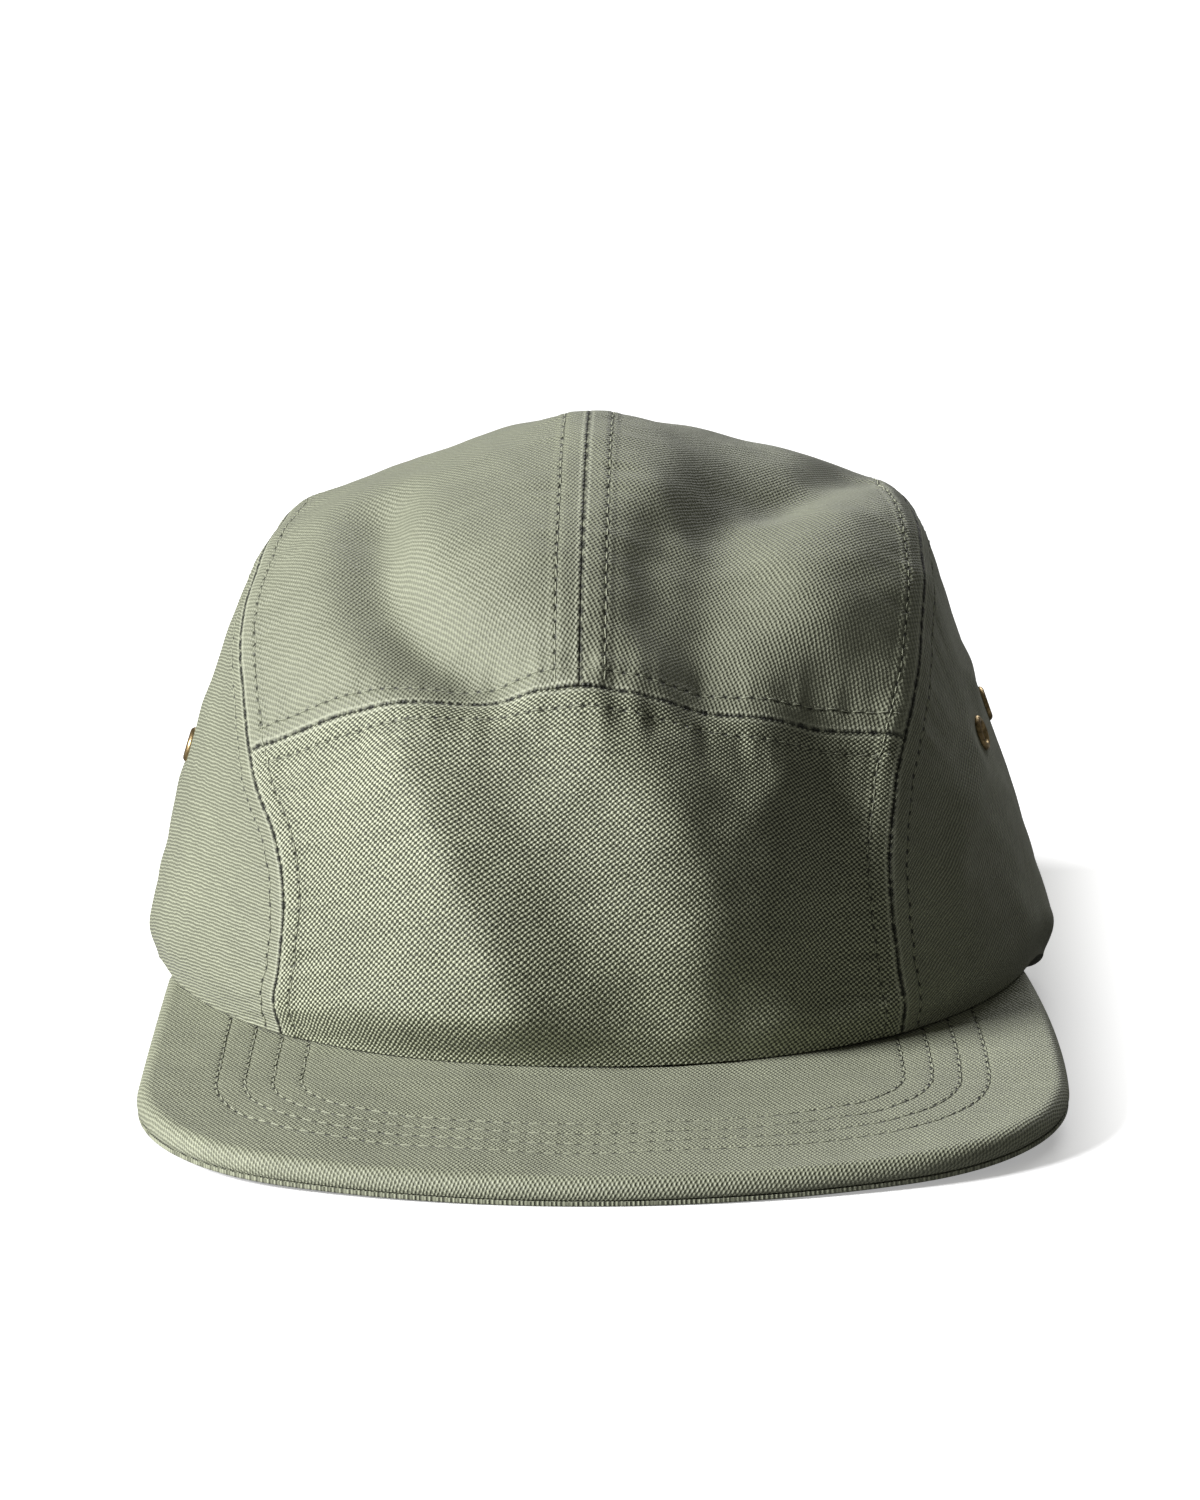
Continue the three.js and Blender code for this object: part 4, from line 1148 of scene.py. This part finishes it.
def under_cover():
    share = np.linspace(-1, 1, UNDER_COLUMNS)
    turns = np.linspace(0, math.pi / 2, 5)
    insets = UNDER_INSET + UNDER_ROUND * (1 - np.cos(turns))
    edge = np.stack([peak_edge(share, inset) for inset in insets])
    seat = rim_place(share * PEAK_END, PEAK_SEAT)
    inward = np.linspace(0, 1, UNDER_ROWS)[1:, None, None]
    plan = np.concatenate([edge, mix(edge[-1][None], seat[None], inward)])
    rounded = np.concatenate([UNDER_ROUND * (1 - np.sin(turns)), np.zeros(len(inward))])[:, None]
    level = peak_top(plan[..., 1]) - PEAK_THICKNESS
    outer = np.concatenate([plan, (level + rounded)[..., None]], -1)
    inner = np.concatenate([plan, (level + PEAK_UNDER_COVER)[..., None]], -1)
    unsewn = np.full(level.shape, NO_SEAM)
    marks = {
        "weave": np.concatenate([plan, np.zeros_like(plan[..., :1])], -1),
        "sewing": np.stack([unsewn, unsewn, unsewn * 0], -1),
    }
    kept = np.ones((plan.shape[0] - 1, plan.shape[1] - 1), bool)
    piece = sheet("peak_under_cover", outer, inner, kept, marks, peak_cloth)
    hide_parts("peak_under")


under_cover()

# Peak stitching: four rows side by side, in the crown's thread, down into the crown's rim line
RIM_MARGIN = 1.5
END_MARGIN = 0.1
crown_middle = np.array([CROWN_SHIFT, 0])
rows = []
for offset in PEAK_ROWS:
    line = edge_line + edge_inward * offset
    run = edge_run - offset * edge_turned
    around = np.arctan2(line[:, 0] - CROWN_SHIFT, -line[:, 1])
    reach = np.linalg.norm(line - crown_middle, axis=-1)
    rim_reach = np.linalg.norm(rim_place(around, 0) - crown_middle, axis=-1)
    clear = reach > rim_reach - RIM_MARGIN
    clear &= np.abs(around) < PEAK_END + END_MARGIN
    clear &= np.gradient(run) > 0
    first, last = np.where(clear)[0][[0, -1]]
    line, run = line[first:last], run[first:last]
    height = cover_top(line, np.full(len(line), offset))
    normals = np.tile([0.0, -math.sin(PEAK_ANGLE), 1.0], (len(line), 1))
    rows.append((np.concatenate([line, height[:, None]], -1), unit(normals), run))
stitches("peak_stitches", rows, PEAK_PITCH, seed=31)

# Floor and light: a pale table, one large soft light low on the left, a weak one behind and a weak even
# fill. To every ray but the camera's the table is dark grey, so it throws little light back. To the camera
# alone it is pale and also glows, a painted light: a little, except under the crown, and more to both sides
# of it, which keeps it white and fades the shadow out. Reaches are in millimetres.
FLOOR_SIZE = 30
FLOOR_COLOUR = (0.93, 0.93, 0.94, 1)
FLOOR_RETURN = (0.2, 0.2, 0.2, 1)
FLOOR_GLOW = 0.35
OPEN_GLOW = 0.7
UNDER_REACH = 85
SHADOW_REACH = 88
SHADOW_FADE = 27
LAMPS = [
    dict(name="key", azimuth=-66, elevation=26, distance=6, size=1.8, power=760),
    dict(name="back", azimuth=165, elevation=35, distance=6, size=3, power=90),
]
FILL_STRENGTH = 0.1
FILL_COLOUR = (1.0, 0.99, 0.88, 1)

bpy.ops.mesh.primitive_plane_add(size=FLOOR_SIZE)
floor = bpy.context.object
floor.name = "floor"
floor_finish = Finish("floor", {"Roughness": 0.9, "Emission Color": (1, 1, 1, 1)})
seen = floor_finish.node("ShaderNodeLightPath", {}, {}, "Is Camera Ray")
place = floor_finish.node("ShaderNodeNewGeometry", {}, {}, "Position")
ends = {0: place, 1: rim_centre}
away = floor_finish.node("ShaderNodeVectorMath", {"operation": "DISTANCE"}, ends, "Value")
outside = (away / MM - UNDER_REACH).clamped()
across = floor_finish.node("ShaderNodeSeparateXYZ", {}, {0: place})
beside = across.math("ABSOLUTE", across - rim_centre.x) / MM
open_floor = ((beside - SHADOW_REACH) / SHADOW_FADE).clamped()
floor_finish.feed(floor_finish.shader, {
    "Base Color": floor_finish.colours(seen, FLOOR_RETURN, FLOOR_COLOUR),
    "Emission Strength": seen * (outside * FLOOR_GLOW + open_floor * OPEN_GLOW),
})
floor.data.materials.append(floor_finish.material)

for row in LAMPS:
    light = bpy.data.lights.new(row["name"], "AREA")
    light.shape = "DISK"
    light.size = row["size"]
    light.energy = row["power"]
    lamp = bpy.data.objects.new(row["name"], light)
    bpy.context.collection.objects.link(lamp)
    toward = Vector(bearing(math.radians(row["azimuth"]), math.radians(row["elevation"])))
    lamp.location = rim_centre + toward * row["distance"]
    lamp.rotation_mode = "QUATERNION"
    lamp.rotation_quaternion = toward.to_track_quat("Z", "Y")

world = bpy.data.worlds.new("studio")
bpy.context.scene.world = world
world.use_nodes = True
world.node_tree.nodes["Background"].inputs["Color"].default_value = FILL_COLOUR
world.node_tree.nodes["Background"].inputs["Strength"].default_value = FILL_STRENGTH
bpy.context.scene.view_settings.view_transform = "Standard"

bpy.context.view_layer.update()
